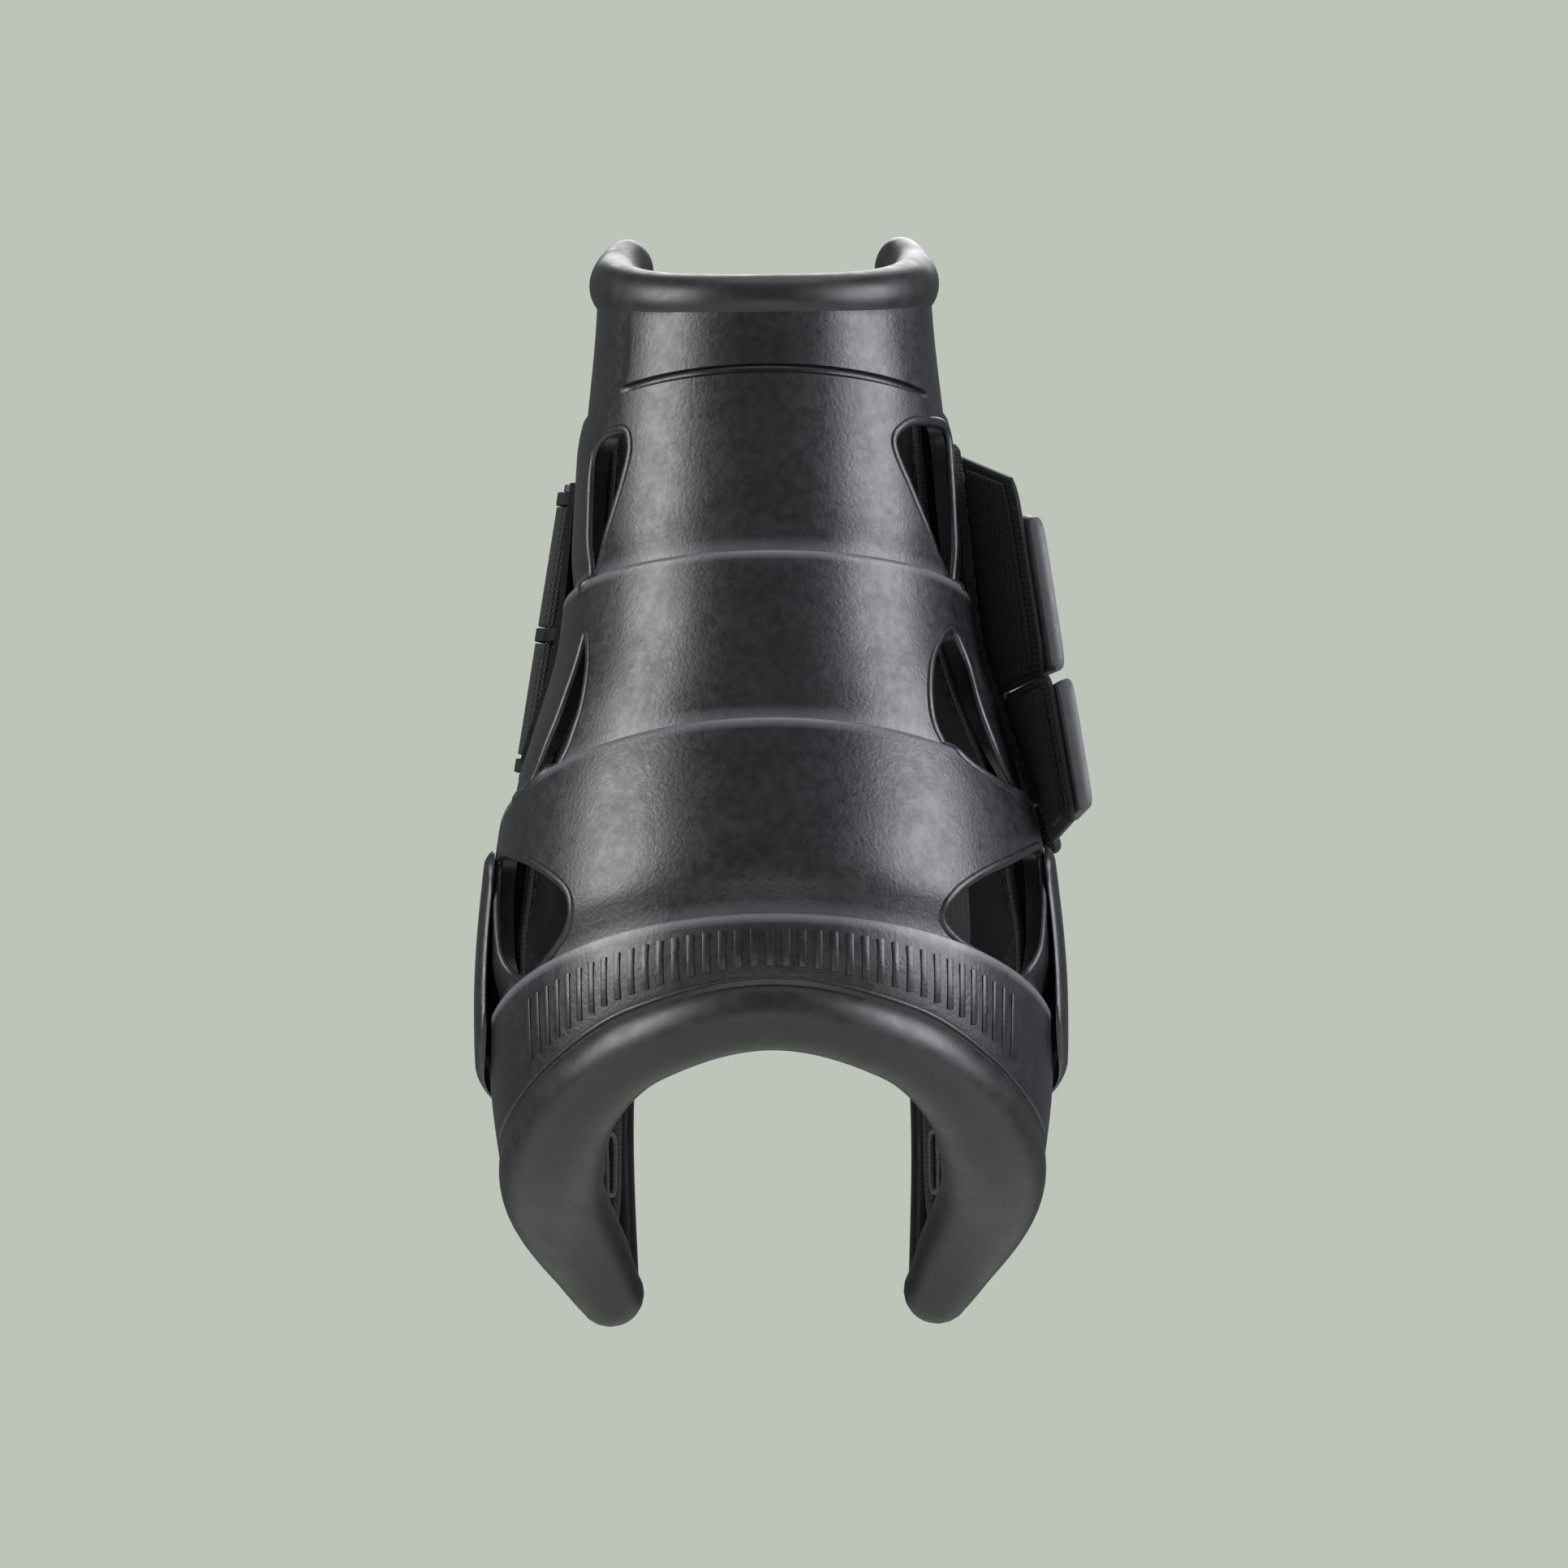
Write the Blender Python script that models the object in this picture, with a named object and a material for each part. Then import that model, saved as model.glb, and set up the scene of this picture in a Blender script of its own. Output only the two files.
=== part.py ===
"""Fetlock boot for a horse's hind leg: an open-fronted moulded shell with two hook-and-loop straps.

The closed back of the boot faces -Y, its open front +Y, and +Z is up along the leg.
The origin lies on the leg's axis, level with the lower tips of the two wings.
All lengths are metres. Angles go round the leg from the middle of the back, positive towards +X.
"""

import bisect
import math

import bmesh
import bpy
from mathutils import Matrix, Vector

# Shell
BOOT_HEIGHT = 0.188
HALF_WIDTH = 0.0487
BACK_DEPTH = 0.0515
FRONT_DEPTH = 0.046
WALL = 0.003
SEAT_GAP = 0.0003
OVERRUN = 0.006
CUTTER_DEPTH = 0.012

# Level, half width, back depth and front depth of the shell, each a share of its overall size
SECTION_SHARES = (
    (0.00, 0.890, 0.800, 0.900),
    (0.10, 0.945, 0.900, 0.960),
    (0.19, 0.990, 0.955, 1.000),
    (0.28, 1.000, 1.000, 1.000),
    (0.37, 0.975, 0.965, 0.965),
    (0.45, 0.928, 0.880, 0.920),
    (0.525, 0.825, 0.800, 0.855),
    (0.60, 0.733, 0.730, 0.800),
    (0.70, 0.687, 0.670, 0.750),
    (0.80, 0.651, 0.630, 0.720),
    (0.90, 0.612, 0.610, 0.700),
    (1.00, 0.594, 0.600, 0.680),
)

# Level, and half the width of the open front there as a share of the shell's half width; towards the
# top it widens again, which rounds off the wings' upper corners
MOUTH_SHARES = (
    (0.00, 0.567),
    (0.21, 0.583),
    (0.50, 0.500),
    (0.76, 0.462),
    (0.84, 0.462),
    (0.96, 0.558),
    (1.00, 0.575),
)

# Design lines: the share of the boot's height at which each crosses the middle of the back, and the
# share of the way forward by which it falls
CUFF_LINE_SHARES = (0.8872, -0.115)
GROOVE_SHARES = (0.8324, 0.115)
UPPER_STEP_SHARES = (0.6612, 0.085)
LOWER_STEP_SHARES = (0.5016, 0.27)
CREASE_SHARES = (0.3149, 0.27)
GROOVE_WIDTH = 0.0014
GROOVE_DEPTH = 0.0010
STEP_EDGE = 0.0004
PLATE_LIP = 0.0007
PLATE_TUCK = 0.0008
CREASE_TUCK = 0.0015
CUFF_INSET = 0.0015
RIM_INSET = 0.0012
BAND_EDGE = 0.0010

# Rows down the plain collar between the cuff and the groove
COLLAR_SHARES = (1 / 4, 1 / 2, 3 / 4)

# Height down a plate, and how far its face stands out (of the lip) or tucks in (of the tuck)
PLATE_SHARES = (
    (0.00, 1.00),
    (0.30, 0.75),
    (0.60, 0.40),
    (0.82, -0.10),
    (1.00, -1.00),
)

# Padded bottom rim: angle share, height share, radius share and proud share, from back to tip,
# with the first row mirrored past the back so that the rim runs level there
RIM_END_ANGLE = math.radians(133)
RIM_BACK_SHARE = 0.2277
RIM_RADIUS = 0.009
RIM_PROUD = 0.0022
RIM_SHARES = (
    (-0.226, 0.900, 0.74, 0.85),
    (0.000, 1.000, 0.70, 1.00),
    (0.226, 0.900, 0.74, 0.85),
    (0.376, 0.755, 0.83, 0.60),
    (0.489, 0.640, 0.93, 0.40),
    (0.602, 0.545, 1.00, 0.30),
    (0.714, 0.455, 0.98, 0.25),
    (0.827, 0.355, 0.92, 0.20),
    (0.917, 0.250, 0.82, 0.20),
    (1.000, 0.138, 0.65, 0.20),
)

# Rolled top cuff: angle share, height share and half-height share, from back to front corner
CUFF_END_ANGLE = math.radians(113)
CUFF_RUN_OUT = math.radians(20)
CUFF_HALF_HEIGHT = 0.006
CUFF_HALF_THICKNESS = 0.0044
CUFF_PROUD = 0.0009
CUFF_SHARES = (
    (-0.38, 0.938, 0.78),
    (0.00, 0.928, 0.76),
    (0.38, 0.938, 0.78),
    (0.80, 0.973, 0.88),
    (1.00, 0.999, 0.90),
)

# Edge trims
TRIM_RADIUS = 0.0024
TRIM_STANDOFF = 0.0014

# Air vents: outlines in angle, as a share of a right angle, and in height, as a share of the boot's
UPPER_VENT_LEFT_SHARES = (
    (0.505, 0.769), (0.545, 0.787), (0.690, 0.783), (0.745, 0.760), (0.745, 0.713),
    (0.740, 0.675), (0.733, 0.646), (0.650, 0.674), (0.582, 0.707), (0.530, 0.740),
)
UPPER_VENT_RIGHT_SHARES = (
    (0.470, 0.768), (0.530, 0.788), (0.650, 0.796), (0.860, 0.796), (0.870, 0.745),
    (0.855, 0.700), (0.840, 0.648), (0.720, 0.665), (0.630, 0.690), (0.535, 0.730),
)
MIDDLE_VENT_LEFT_SHARES = (
    (0.670, 0.602), (0.690, 0.564), (0.711, 0.527), (0.755, 0.490), (0.810, 0.451),
    (0.655, 0.471), (0.600, 0.507), (0.589, 0.537), (0.617, 0.575),
)
MIDDLE_VENT_RIGHT_SHARES = (
    (0.680, 0.602), (0.562, 0.577), (0.498, 0.539), (0.490, 0.503), (0.548, 0.471),
    (0.700, 0.453), (0.840, 0.455), (0.770, 0.490), (0.735, 0.532), (0.745, 0.575),
)
LOWER_VENT_LEFT_SHARES = (
    (0.900, 0.402), (0.700, 0.391), (0.540, 0.360), (0.500, 0.335), (0.545, 0.308),
    (0.667, 0.282), (0.778, 0.287), (0.850, 0.330),
)
LOWER_VENT_RIGHT_SHARES = (
    (0.900, 0.406), (0.650, 0.381), (0.485, 0.351), (0.428, 0.324), (0.472, 0.303),
    (0.600, 0.286), (0.755, 0.280), (0.850, 0.335),
)
VENT_STEPS = 3

# Pads inside the shell
PAD_EDGE = 0.0014
PAD_CROWN = 0.0036
PAD_CHANNEL_SHARE = 0.55
BACK_PAD_HALF_ANGLE = math.radians(50)
BACK_PAD_DROP = 0.0034
BACK_PAD_CHANNELS = 5
SIDE_PAD_START = math.radians(90)
SIDE_PAD_MARGIN = math.radians(7)
SIDE_PAD_DROP = 0.0134
SIDE_PAD_CHANNELS = 4
PAD_CLEARANCE = 0.0015
PAD_GAP = 0.0005
PAD_CORNER_SHARE = 0.17

# Flank guards
GUARD_THICKNESS = 0.0014
GUARD_START = math.radians(79)
GUARD_END = math.radians(122)
GUARD_HEIGHT_SHARES = (0.1968, 0.4043)
GUARD_FALL = 0.0030
GUARD_SLOTS = 3
GUARD_SLOT_HALF_ANGLE = math.radians(1.8)
GUARD_SLOT_MARGIN = 0.0060
GUARD_END_SHARE = 0.6
GUARD_SLOT_SPREAD_SHARE = 0.8
GUARD_SLOT_END_SHARE = 0.2

# Strap bar and its seat on the left flank
BAR_ANGLE = math.radians(-118)
BAR_RADIUS = 0.0012
BAR_CLEARANCE = 0.00035
BAR_HEIGHT_SHARES = (0.5053, 0.7633)
EYE_CLEARANCE = 0.0006
BAR_HEAD_RADIUS = 0.0019
BAR_HEAD_LENGTH = 0.0012
SEAT_THICKNESS = 0.0011
SEAT_START = math.radians(-98)
SEAT_END = math.radians(-134)
LUG_RADIUS = 0.0029
LUG_THICKNESS = 0.0022

# Straps, with the low and high edge of each at its bar and at its flap as shares of the boot's height
STRAP_THICKNESS = 0.0018
STRAP_CLEARANCE = 0.0007
STRAP_EYE_RADIUS = 0.0027
STRAP_BLEND = math.radians(24)
STRAP_SHORT = math.radians(1)
STRAP_HEIGHT_SHARES = {
    "upper": {"bar": (0.6447, 0.7447), "flap": (0.6011, 0.7713)},
    "lower": {"bar": (0.5266, 0.6186), "flap": (0.4362, 0.5532)},
}

# Flaps: the angle of each fold and free edge, and how far each free edge stands off the shell
FLAP_CLEARANCE = 0.0006
UPPER_FREE_STANDOFF = 0.0113
LOWER_FREE_LOW_STANDOFF = 0.0086
LOWER_FREE_HIGH_STANDOFF = 0.0128
FLAP_BEAD_RADIUS = 0.0016
FLAP_THICKNESS = 0.0016
HOOK_THICKNESS = 0.0012
TAB_THICKNESS = 0.0030
FOLD_ANGLES = {"upper": math.radians(116), "lower": math.radians(103)}
FREE_ANGLES = {"upper": math.radians(77.5), "lower": math.radians(72.5)}
FREE_STANDOFFS = {
    "upper": (UPPER_FREE_STANDOFF, UPPER_FREE_STANDOFF),
    "lower": (LOWER_FREE_LOW_STANDOFF, LOWER_FREE_HIGH_STANDOFF),
}
FOLD_HEIGHT_SHARES = {"upper": (0.5665, 0.7979), "lower": (0.4255, 0.5612)}
FREE_HEIGHT_SHARES = {"upper": (0.5665, 0.7480), "lower": (0.4255, 0.5612)}
TAB_RISE_SHARES = {"upper": (0.01, 0.80), "lower": (0.05, 0.94)}
HOOK_START_SHARES = {"upper": 0.32, "lower": 0.45}
HOOK_MARGIN = 0.0014
HOOK_END_SHARE = 0.95
TAB_START_SHARE = 0.5
TAB_END_SHARE = 1.05
LAYER_CORNER_SHARE = 0.125

# Loop panel on the right flank
LOOP_THICKNESS = 0.0008
LOOP_START = math.radians(92)
LOOP_END = math.radians(134)
LOOP_HEIGHT_SHARES = (0.4574, 0.7872)
PANEL_CORNER_SHARE = 0.1

# How finely the pieces are faceted
SHELL_COLUMNS = 36
PAD_COLUMNS = 12
PAD_ROWS_EACH_CHANNEL = 5
GUARD_GRID = (12, 8)
GUARD_SLOT_ROWS = 5
PANEL_GRID = (10, 8)
STRAP_GRID = (30, 4)
FLAP_GRID = (6, 4)
LAYER_GRID = (4, 8)
ROUND_SIDES = 12
TRIM_SIDES = 10
TRIM_STEPS = 24
CAP_TURNS = (math.radians(35), math.radians(60), math.radians(80))
SMOOTH_ANGLE = math.radians(35)


def follow(shares, at, column):
    """Smooth value of one column of a table of shares at a place in its first column."""
    places = [row[0] for row in shares]
    last = len(shares) - 1
    index = max(0, min(last - 1, bisect.bisect_right(places, at) - 1))
    here, after = shares[index], shares[index + 1]
    before, beyond = shares[max(index - 1, 0)], shares[min(index + 2, last)]
    width = after[0] - here[0]
    part = min(max((at - here[0]) / width, 0), 1)
    leave = (after[column] - before[column]) / (after[0] - before[0]) * width
    arrive = (beyond[column] - here[column]) / (beyond[0] - here[0]) * width
    return (
        here[column] * (2 * part**3 - 3 * part**2 + 1)
        + leave * (part**3 - 2 * part**2 + part)
        + after[column] * (3 * part**2 - 2 * part**3)
        + arrive * (part**3 - part**2)
    )


def mix(first, second, part):
    return first + (second - first) * part


def ease(part):
    """A smooth rise from 0 to 1."""
    part = min(max(part, 0), 1)
    return part * part * (3 - 2 * part)


def heights(shares):
    """The low and high end of a piece, worked out from its shares of the boot's height."""
    return tuple(BOOT_HEIGHT * share for share in shares)


def section(height):
    """Half width, back depth and front depth of the shell's outer face at a height."""
    level = height / BOOT_HEIGHT
    return (
        HALF_WIDTH * follow(SECTION_SHARES, level, 1),
        BACK_DEPTH * follow(SECTION_SHARES, level, 2),
        FRONT_DEPTH * follow(SECTION_SHARES, level, 3),
    )


def outward(angle, height):
    """The level direction that points out of the shell."""
    width, back, front = section(height)
    depth = back if math.cos(angle) > 0 else front
    return Vector((depth * math.sin(angle), -width * math.cos(angle), 0)).normalized()


def on_shell(angle, height, out=0.0):
    """The point of the shell's plain outer face at an angle and height, moved out by a distance."""
    width, back, front = section(height)
    depth = back if math.cos(angle) > 0 else front
    face = Vector((width * math.sin(angle), -depth * math.cos(angle), height))
    return face + outward(angle, height) * out


def edge_angle(height):
    """The angle at which a wing ends at the boot's open front."""
    half_mouth = HALF_WIDTH * follow(MOUTH_SHARES, height / BOOT_HEIGHT, 1)
    return math.pi - math.asin(half_mouth / section(height)[0])


def line_height(line_shares, angle):
    """Height of a design line that falls steadily from the middle of the back to the front."""
    back_share, fall_share = line_shares
    back_height = BOOT_HEIGHT * back_share
    forward = section(back_height)[1] + on_shell(angle, back_height).y
    return back_height - fall_share * forward


def rim_part(angle, column):
    return follow(RIM_SHARES, abs(angle) / RIM_END_ANGLE, column)


def rim_height(angle):
    return BOOT_HEIGHT * RIM_BACK_SHARE * rim_part(angle, 1)


def rim_radius(angle):
    return RIM_RADIUS * rim_part(angle, 2)


def rim_line(angle):
    """Height at which the shell meets the padded rim on its outer face."""
    radius = rim_radius(angle)
    proud = RIM_PROUD * rim_part(angle, 3)
    return rim_height(angle) + math.sqrt(radius**2 - (radius - proud) ** 2)


def cuff_part(angle, column):
    return follow(CUFF_SHARES, abs(angle) / CUFF_END_ANGLE, column)


def cuff_height(angle):
    return (BOOT_HEIGHT - CUFF_HALF_HEIGHT) * cuff_part(angle, 1)


def under_cuff(angle, drop):
    """Height of a point that lies a distance below the cuff."""
    return cuff_height(angle) - CUFF_HALF_HEIGHT * cuff_part(angle, 2) - drop


def material(name, colour, roughness, metallic=0.0):
    """A plain finish for one kind of material."""
    made = bpy.data.materials.new(name)
    made.use_nodes = True
    shader = made.node_tree.nodes["Principled BSDF"]
    shader.inputs["Base Color"].default_value = (*colour, 1)
    shader.inputs["Roughness"].default_value = roughness
    shader.inputs["Metallic"].default_value = metallic
    made.diffuse_color = (*colour, 1)
    return made


def finish(name, mesh_data, made_of):
    """Turn a bmesh into a named, smooth-shaded object of one material."""
    bmesh.ops.recalc_face_normals(mesh_data, faces=mesh_data.faces)
    mesh = bpy.data.meshes.new(name)
    mesh_data.to_mesh(mesh)
    mesh_data.free()
    mesh.shade_smooth()
    mesh.set_sharp_from_angle(angle=SMOOTH_ANGLE)
    piece = bpy.data.objects.new(name, mesh)
    bpy.context.scene.collection.objects.link(piece)
    if made_of:
        mesh.materials.append(made_of)
    return piece


def sheet(columns, rows, outer, inner):
    """A grid laid on an outer face, copied to an inner face and closed round its border.

    Both faces are functions of the column, from -1 to 1, and of the row, from 0 to 1.
    """
    made = bmesh.new()
    bmesh.ops.create_grid(made, x_segments=columns, y_segments=rows, size=1)
    places = {vert: (vert.co.x, (vert.co.y + 1) / 2) for vert in made.verts}
    border = [edge for edge in made.edges if edge.is_boundary]
    laid = made.faces[:]
    copied = bmesh.ops.duplicate(made, geom=made.verts[:] + made.edges[:] + laid)
    twin = copied["vert_map"]
    for vert, (column, row) in places.items():
        vert.co = outer(column, row)
        twin[vert].co = inner(column, row)
    bmesh.ops.reverse_faces(made, faces=[copied["face_map"][face] for face in laid])
    for edge in border:
        first, second = edge.verts
        made.faces.new((first, second, twin[second], twin[first]))
    return made


def tube(stations, sides=ROUND_SIDES):
    """A loft of oval rings, each given by its centre and two half axes, closed by a cap at each end."""
    made = bmesh.new()
    rings = []
    for centre, across, along in stations:
        frame = Matrix.Identity(4)
        frame.col[0].xyz = across
        frame.col[1].xyz = along
        frame.col[2].xyz = across.cross(along).normalized()
        frame.col[3].xyz = centre
        ring = bmesh.ops.create_circle(made, segments=sides, radius=1, matrix=frame)
        rings.append(ring["verts"])
    for first, second in zip(rings, rings[1:]):
        for index in range(sides):
            after = (index + 1) % sides
            made.faces.new((first[index], first[after], second[after], second[index]))
    made.faces.new(rings[0])
    made.faces.new(rings[-1])
    return made


def rounded_path(path, extra=0.0):
    """Stations along a path of (centre, outward direction, thickness, height), with round ends."""
    count = len(path)
    stations = []
    for index, (centre, out, thick, high) in enumerate(path):
        before = path[max(index - 1, 0)][0]
        after = path[min(index + 1, count - 1)][0]
        travel = (after - before).normalized()
        across = (out - travel * out.dot(travel)).normalized()
        along = travel.cross(across).normalized()
        stations.append((centre, across, along, travel, thick + extra, high + extra))
    rings = []
    for turn in reversed(CAP_TURNS):
        centre, across, along, travel, thick, high = stations[0]
        small, reach = math.cos(turn), math.sin(turn)
        rings.append((centre - travel * thick * reach, across * thick * small, along * high * small))
    for centre, across, along, travel, thick, high in stations:
        rings.append((centre, across * thick, along * high))
    for turn in CAP_TURNS:
        centre, across, along, travel, thick, high = stations[-1]
        small, reach = math.cos(turn), math.sin(turn)
        rings.append((centre + travel * thick * reach, across * thick * small, along * high * small))
    return rings


def rod(start, end, radius, sides=ROUND_SIDES):
    """A round rod between two points."""
    made = bmesh.new()
    travel = end - start
    turn = Vector((0, 0, 1)).rotation_difference(travel).to_matrix().to_4x4()
    frame = Matrix.Translation((start + end) / 2) @ turn
    size = {"radius1": radius, "radius2": radius, "depth": travel.length}
    bmesh.ops.create_cone(made, cap_ends=True, segments=sides, matrix=frame, **size)
    return made


def boolean(piece, other, operation, solver="EXACT"):
    """Join another object to a piece, or cut it away, and leave the other out of the model."""
    other.hide_render = True
    other.display_type = "WIRE"
    change = piece.modifiers.new(other.name, "BOOLEAN")
    change.operation = operation
    change.solver = solver
    change.object = other


def helper(name, mesh_data):
    """A cutter or a shape to be joined, which isn't a piece by itself."""
    piece = finish(name, mesh_data, None)
    piece.hide_render = True
    piece.display_type = "WIRE"
    return piece


def set_origin(piece, point):
    """Put a moving piece's origin on its hinge line."""
    piece.data.transform(Matrix.Translation(-point))
    piece.location = point


def shell_lines():
    """Rows of the shell's outer face from the cuff down: height by angle, and distance out."""

    def falling(line_shares, lower=0.0):
        return lambda angle: line_height(line_shares, angle) - lower

    groove_low = falling(GROOVE_SHARES, GROOVE_WIDTH / 2 + STEP_EDGE)
    upper = falling(UPPER_STEP_SHARES)
    lower = falling(LOWER_STEP_SHARES)
    crease = falling(CREASE_SHARES)
    collar_top = falling(CUFF_LINE_SHARES)
    collar_low = falling(GROOVE_SHARES, -GROOVE_WIDTH / 2 - STEP_EDGE)
    rows = [(cuff_height, -CUFF_INSET), (collar_top, 0.0)]
    for down in COLLAR_SHARES:
        rows.append((lambda angle, down=down: mix(collar_top(angle), collar_low(angle), down), 0.0))
    rows.append((collar_low, 0.0))
    rows.append((falling(GROOVE_SHARES, -GROOVE_WIDTH / 2), -GROOVE_DEPTH))
    rows.append((falling(GROOVE_SHARES, GROOVE_WIDTH / 2), -GROOVE_DEPTH))
    plates = ((groove_low, upper, PLATE_TUCK), (upper, lower, PLATE_TUCK), (lower, crease, CREASE_TUCK))
    for top, bottom, tuck in plates:
        for down, out in PLATE_SHARES:
            reach = out * (PLATE_LIP if out > 0 else tuck)

            def height(angle, top=top, bottom=bottom, down=down):
                return mix(top(angle), bottom(angle) + STEP_EDGE, down)

            rows.append((height, reach))
    rows.append((crease, 0.0))
    rows.append((lambda angle: mix(crease(angle), rim_line(angle), 1 / 2), 0.0))
    rows.append((lambda angle: rim_line(angle) + BAND_EDGE, 0.0))
    rows.append((rim_height, -RIM_INSET))
    return rows


def wall_end(height):
    """The angle at which the moulded wall stops, just short of the trim on its front edge."""
    angle = edge_angle(height)
    width, back, front = section(height)
    stride = math.hypot(width * math.cos(angle), front * math.sin(angle))
    below, above = height - TRIM_RADIUS, height + TRIM_RADIUS
    lean = on_shell(edge_angle(above), above) - on_shell(edge_angle(below), below)
    reach = (TRIM_RADIUS + SEAT_GAP) * lean.length / lean.z
    return angle - (reach - TRIM_STANDOFF) / stride


def wall_place(column, height_at):
    """Angle and height where a row of the shell crosses a column, counted from -1 to 1."""
    angle = column * wall_end(height_at(0.0))
    for _ in range(3):
        angle = column * wall_end(height_at(angle))
    return angle, height_at(angle)


def outer_shell(made_of):
    """The moulded shell, with its groove, stepped plates and bottom band."""
    rows = shell_lines()
    last = len(rows) - 1

    def face(column, row, inward):
        height_at, out = rows[round((1 - row) * last)]
        angle, height = wall_place(column, height_at)
        return on_shell(angle, height, -WALL if inward else out)

    made = sheet(
        SHELL_COLUMNS,
        last,
        lambda column, row: face(column, row, False),
        lambda column, row: face(column, row, True),
    )
    return finish("outer_shell", made, made_of)


def rim_path():
    """The padded rim's centre line from the left tip round the back to the right tip."""
    path = []
    for step in range(SHELL_COLUMNS + 1):
        angle = RIM_END_ANGLE * (2 * step / SHELL_COLUMNS - 1)
        height, radius = rim_height(angle), rim_radius(angle)
        proud = RIM_PROUD * rim_part(angle, 3)
        path.append((on_shell(angle, height, proud - radius), outward(angle, height), radius, radius))
    return path


def cuff_path(run_out=0.0):
    """The rolled cuff's centre line from the left front corner to the right one, and past each by an angle."""
    path = []
    steps = SHELL_COLUMNS * 3 // 4
    for step in range(steps + 1):
        angle = (CUFF_END_ANGLE + run_out) * (2 * step / steps - 1)
        height = cuff_height(angle)
        centre = on_shell(angle, height, CUFF_PROUD - CUFF_HALF_THICKNESS)
        high = CUFF_HALF_HEIGHT * cuff_part(angle, 2)
        path.append((centre, outward(angle, height), CUFF_HALF_THICKNESS, high))
    return path


def trim_path(side):
    """The soft trim's centre line up the front edge of one wing."""
    low, high = rim_height(RIM_END_ANGLE), cuff_height(CUFF_END_ANGLE)
    path = []
    for step in range(TRIM_STEPS + 1):
        height = mix(low, high, step / TRIM_STEPS)
        angle = side * edge_angle(height)
        out = outward(angle, height)
        ahead = Vector((-out.y, out.x, 0)) * side
        centre = on_shell(angle, height, -WALL / 2) + ahead * TRIM_STANDOFF
        path.append((centre, out, TRIM_RADIUS, TRIM_RADIUS))
    return path


def smooth_outline(shares):
    """A closed smooth curve through an outline's points, as angle and height."""
    count = len(shares)
    outline = []
    for index in range(count):
        before, here = shares[index - 1], shares[index]
        after, beyond = shares[(index + 1) % count], shares[(index + 2) % count]
        for step in range(VENT_STEPS):
            part = step / VENT_STEPS
            point = []
            for axis in range(2):
                leave = (after[axis] - before[axis]) / 2
                arrive = (beyond[axis] - here[axis]) / 2
                point.append(
                    here[axis] * (2 * part**3 - 3 * part**2 + 1)
                    + leave * (part**3 - 2 * part**2 + part)
                    + after[axis] * (3 * part**2 - 2 * part**3)
                    + arrive * (part**3 - part**2)
                )
            outline.append((point[0] * math.pi / 2, point[1] * BOOT_HEIGHT))
    return outline


def vent_cutter(name, shares, side):
    """A plug through the shell wall with the outline of one air vent."""
    made = bmesh.new()
    near, far = [], []
    for angle, height in smooth_outline(shares):
        near.append(made.verts.new(on_shell(side * angle, height, OVERRUN)))
        far.append(made.verts.new(on_shell(side * angle, height, -CUTTER_DEPTH)))
    count = len(near)
    made.faces.new(near)
    made.faces.new(far)
    for index in range(count):
        after = (index + 1) % count
        made.faces.new((near[index], near[after], far[after], far[index]))
    return helper(name, made)


def pad(name, start, end, top, bottom_at, channels, made_of):
    """A crowned pad on the shell's inner face, thin at its edges and pressed into level channels."""

    def place(column, row):
        low = bottom_at((start(top) + end(top)) / 2)
        height = mix(low, top, row)
        drawn = 1 - (2 * row - 1) ** 8 * PAD_CORNER_SHARE
        middle, half = (start(height) + end(height)) / 2, (end(height) - start(height)) / 2
        angle = middle + column * half * drawn
        return angle, mix(bottom_at(angle), top, row)

    def thickness(column, row):
        crown = math.sqrt(max(0, 1 - abs(column) ** 4)) * math.sqrt(max(0, 1 - abs(2 * row - 1) ** 6))
        pressed = abs(math.cos(math.pi * row * channels)) ** 8 if channels else 0
        return PAD_EDGE + PAD_CROWN * crown * (1 - PAD_CHANNEL_SHARE * pressed)

    def face(column, row, inward):
        angle, height = place(column, row)
        depth = WALL + PAD_GAP + (thickness(column, row) if inward else 0)
        return on_shell(angle, height, -depth)

    made = sheet(
        PAD_COLUMNS,
        channels * PAD_ROWS_EACH_CHANNEL,
        lambda column, row: face(column, row, False),
        lambda column, row: face(column, row, True),
    )
    return finish(name, made, made_of)


def back_pad(made_of):
    """The pad behind the tendon and the fetlock."""

    def bottom_at(angle):
        return rim_height(angle) + rim_radius(angle) + PAD_CLEARANCE

    return pad(
        "back_pad",
        lambda height: -BACK_PAD_HALF_ANGLE,
        lambda height: BACK_PAD_HALF_ANGLE,
        under_cuff(0.0, BACK_PAD_DROP),
        bottom_at,
        BACK_PAD_CHANNELS,
        made_of,
    )


def side_pad(side, name, made_of):
    """The pad inside one wing, beside the joint."""

    def bottom_at(angle):
        return rim_height(angle) + rim_radius(angle) + PAD_CLEARANCE

    top = under_cuff(SIDE_PAD_START, SIDE_PAD_DROP)

    def start(height):
        return side * SIDE_PAD_START

    def end(height):
        return side * (edge_angle(min(height, top)) - SIDE_PAD_MARGIN)

    return pad(name, start, end, top, bottom_at, SIDE_PAD_CHANNELS, made_of)


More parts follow.
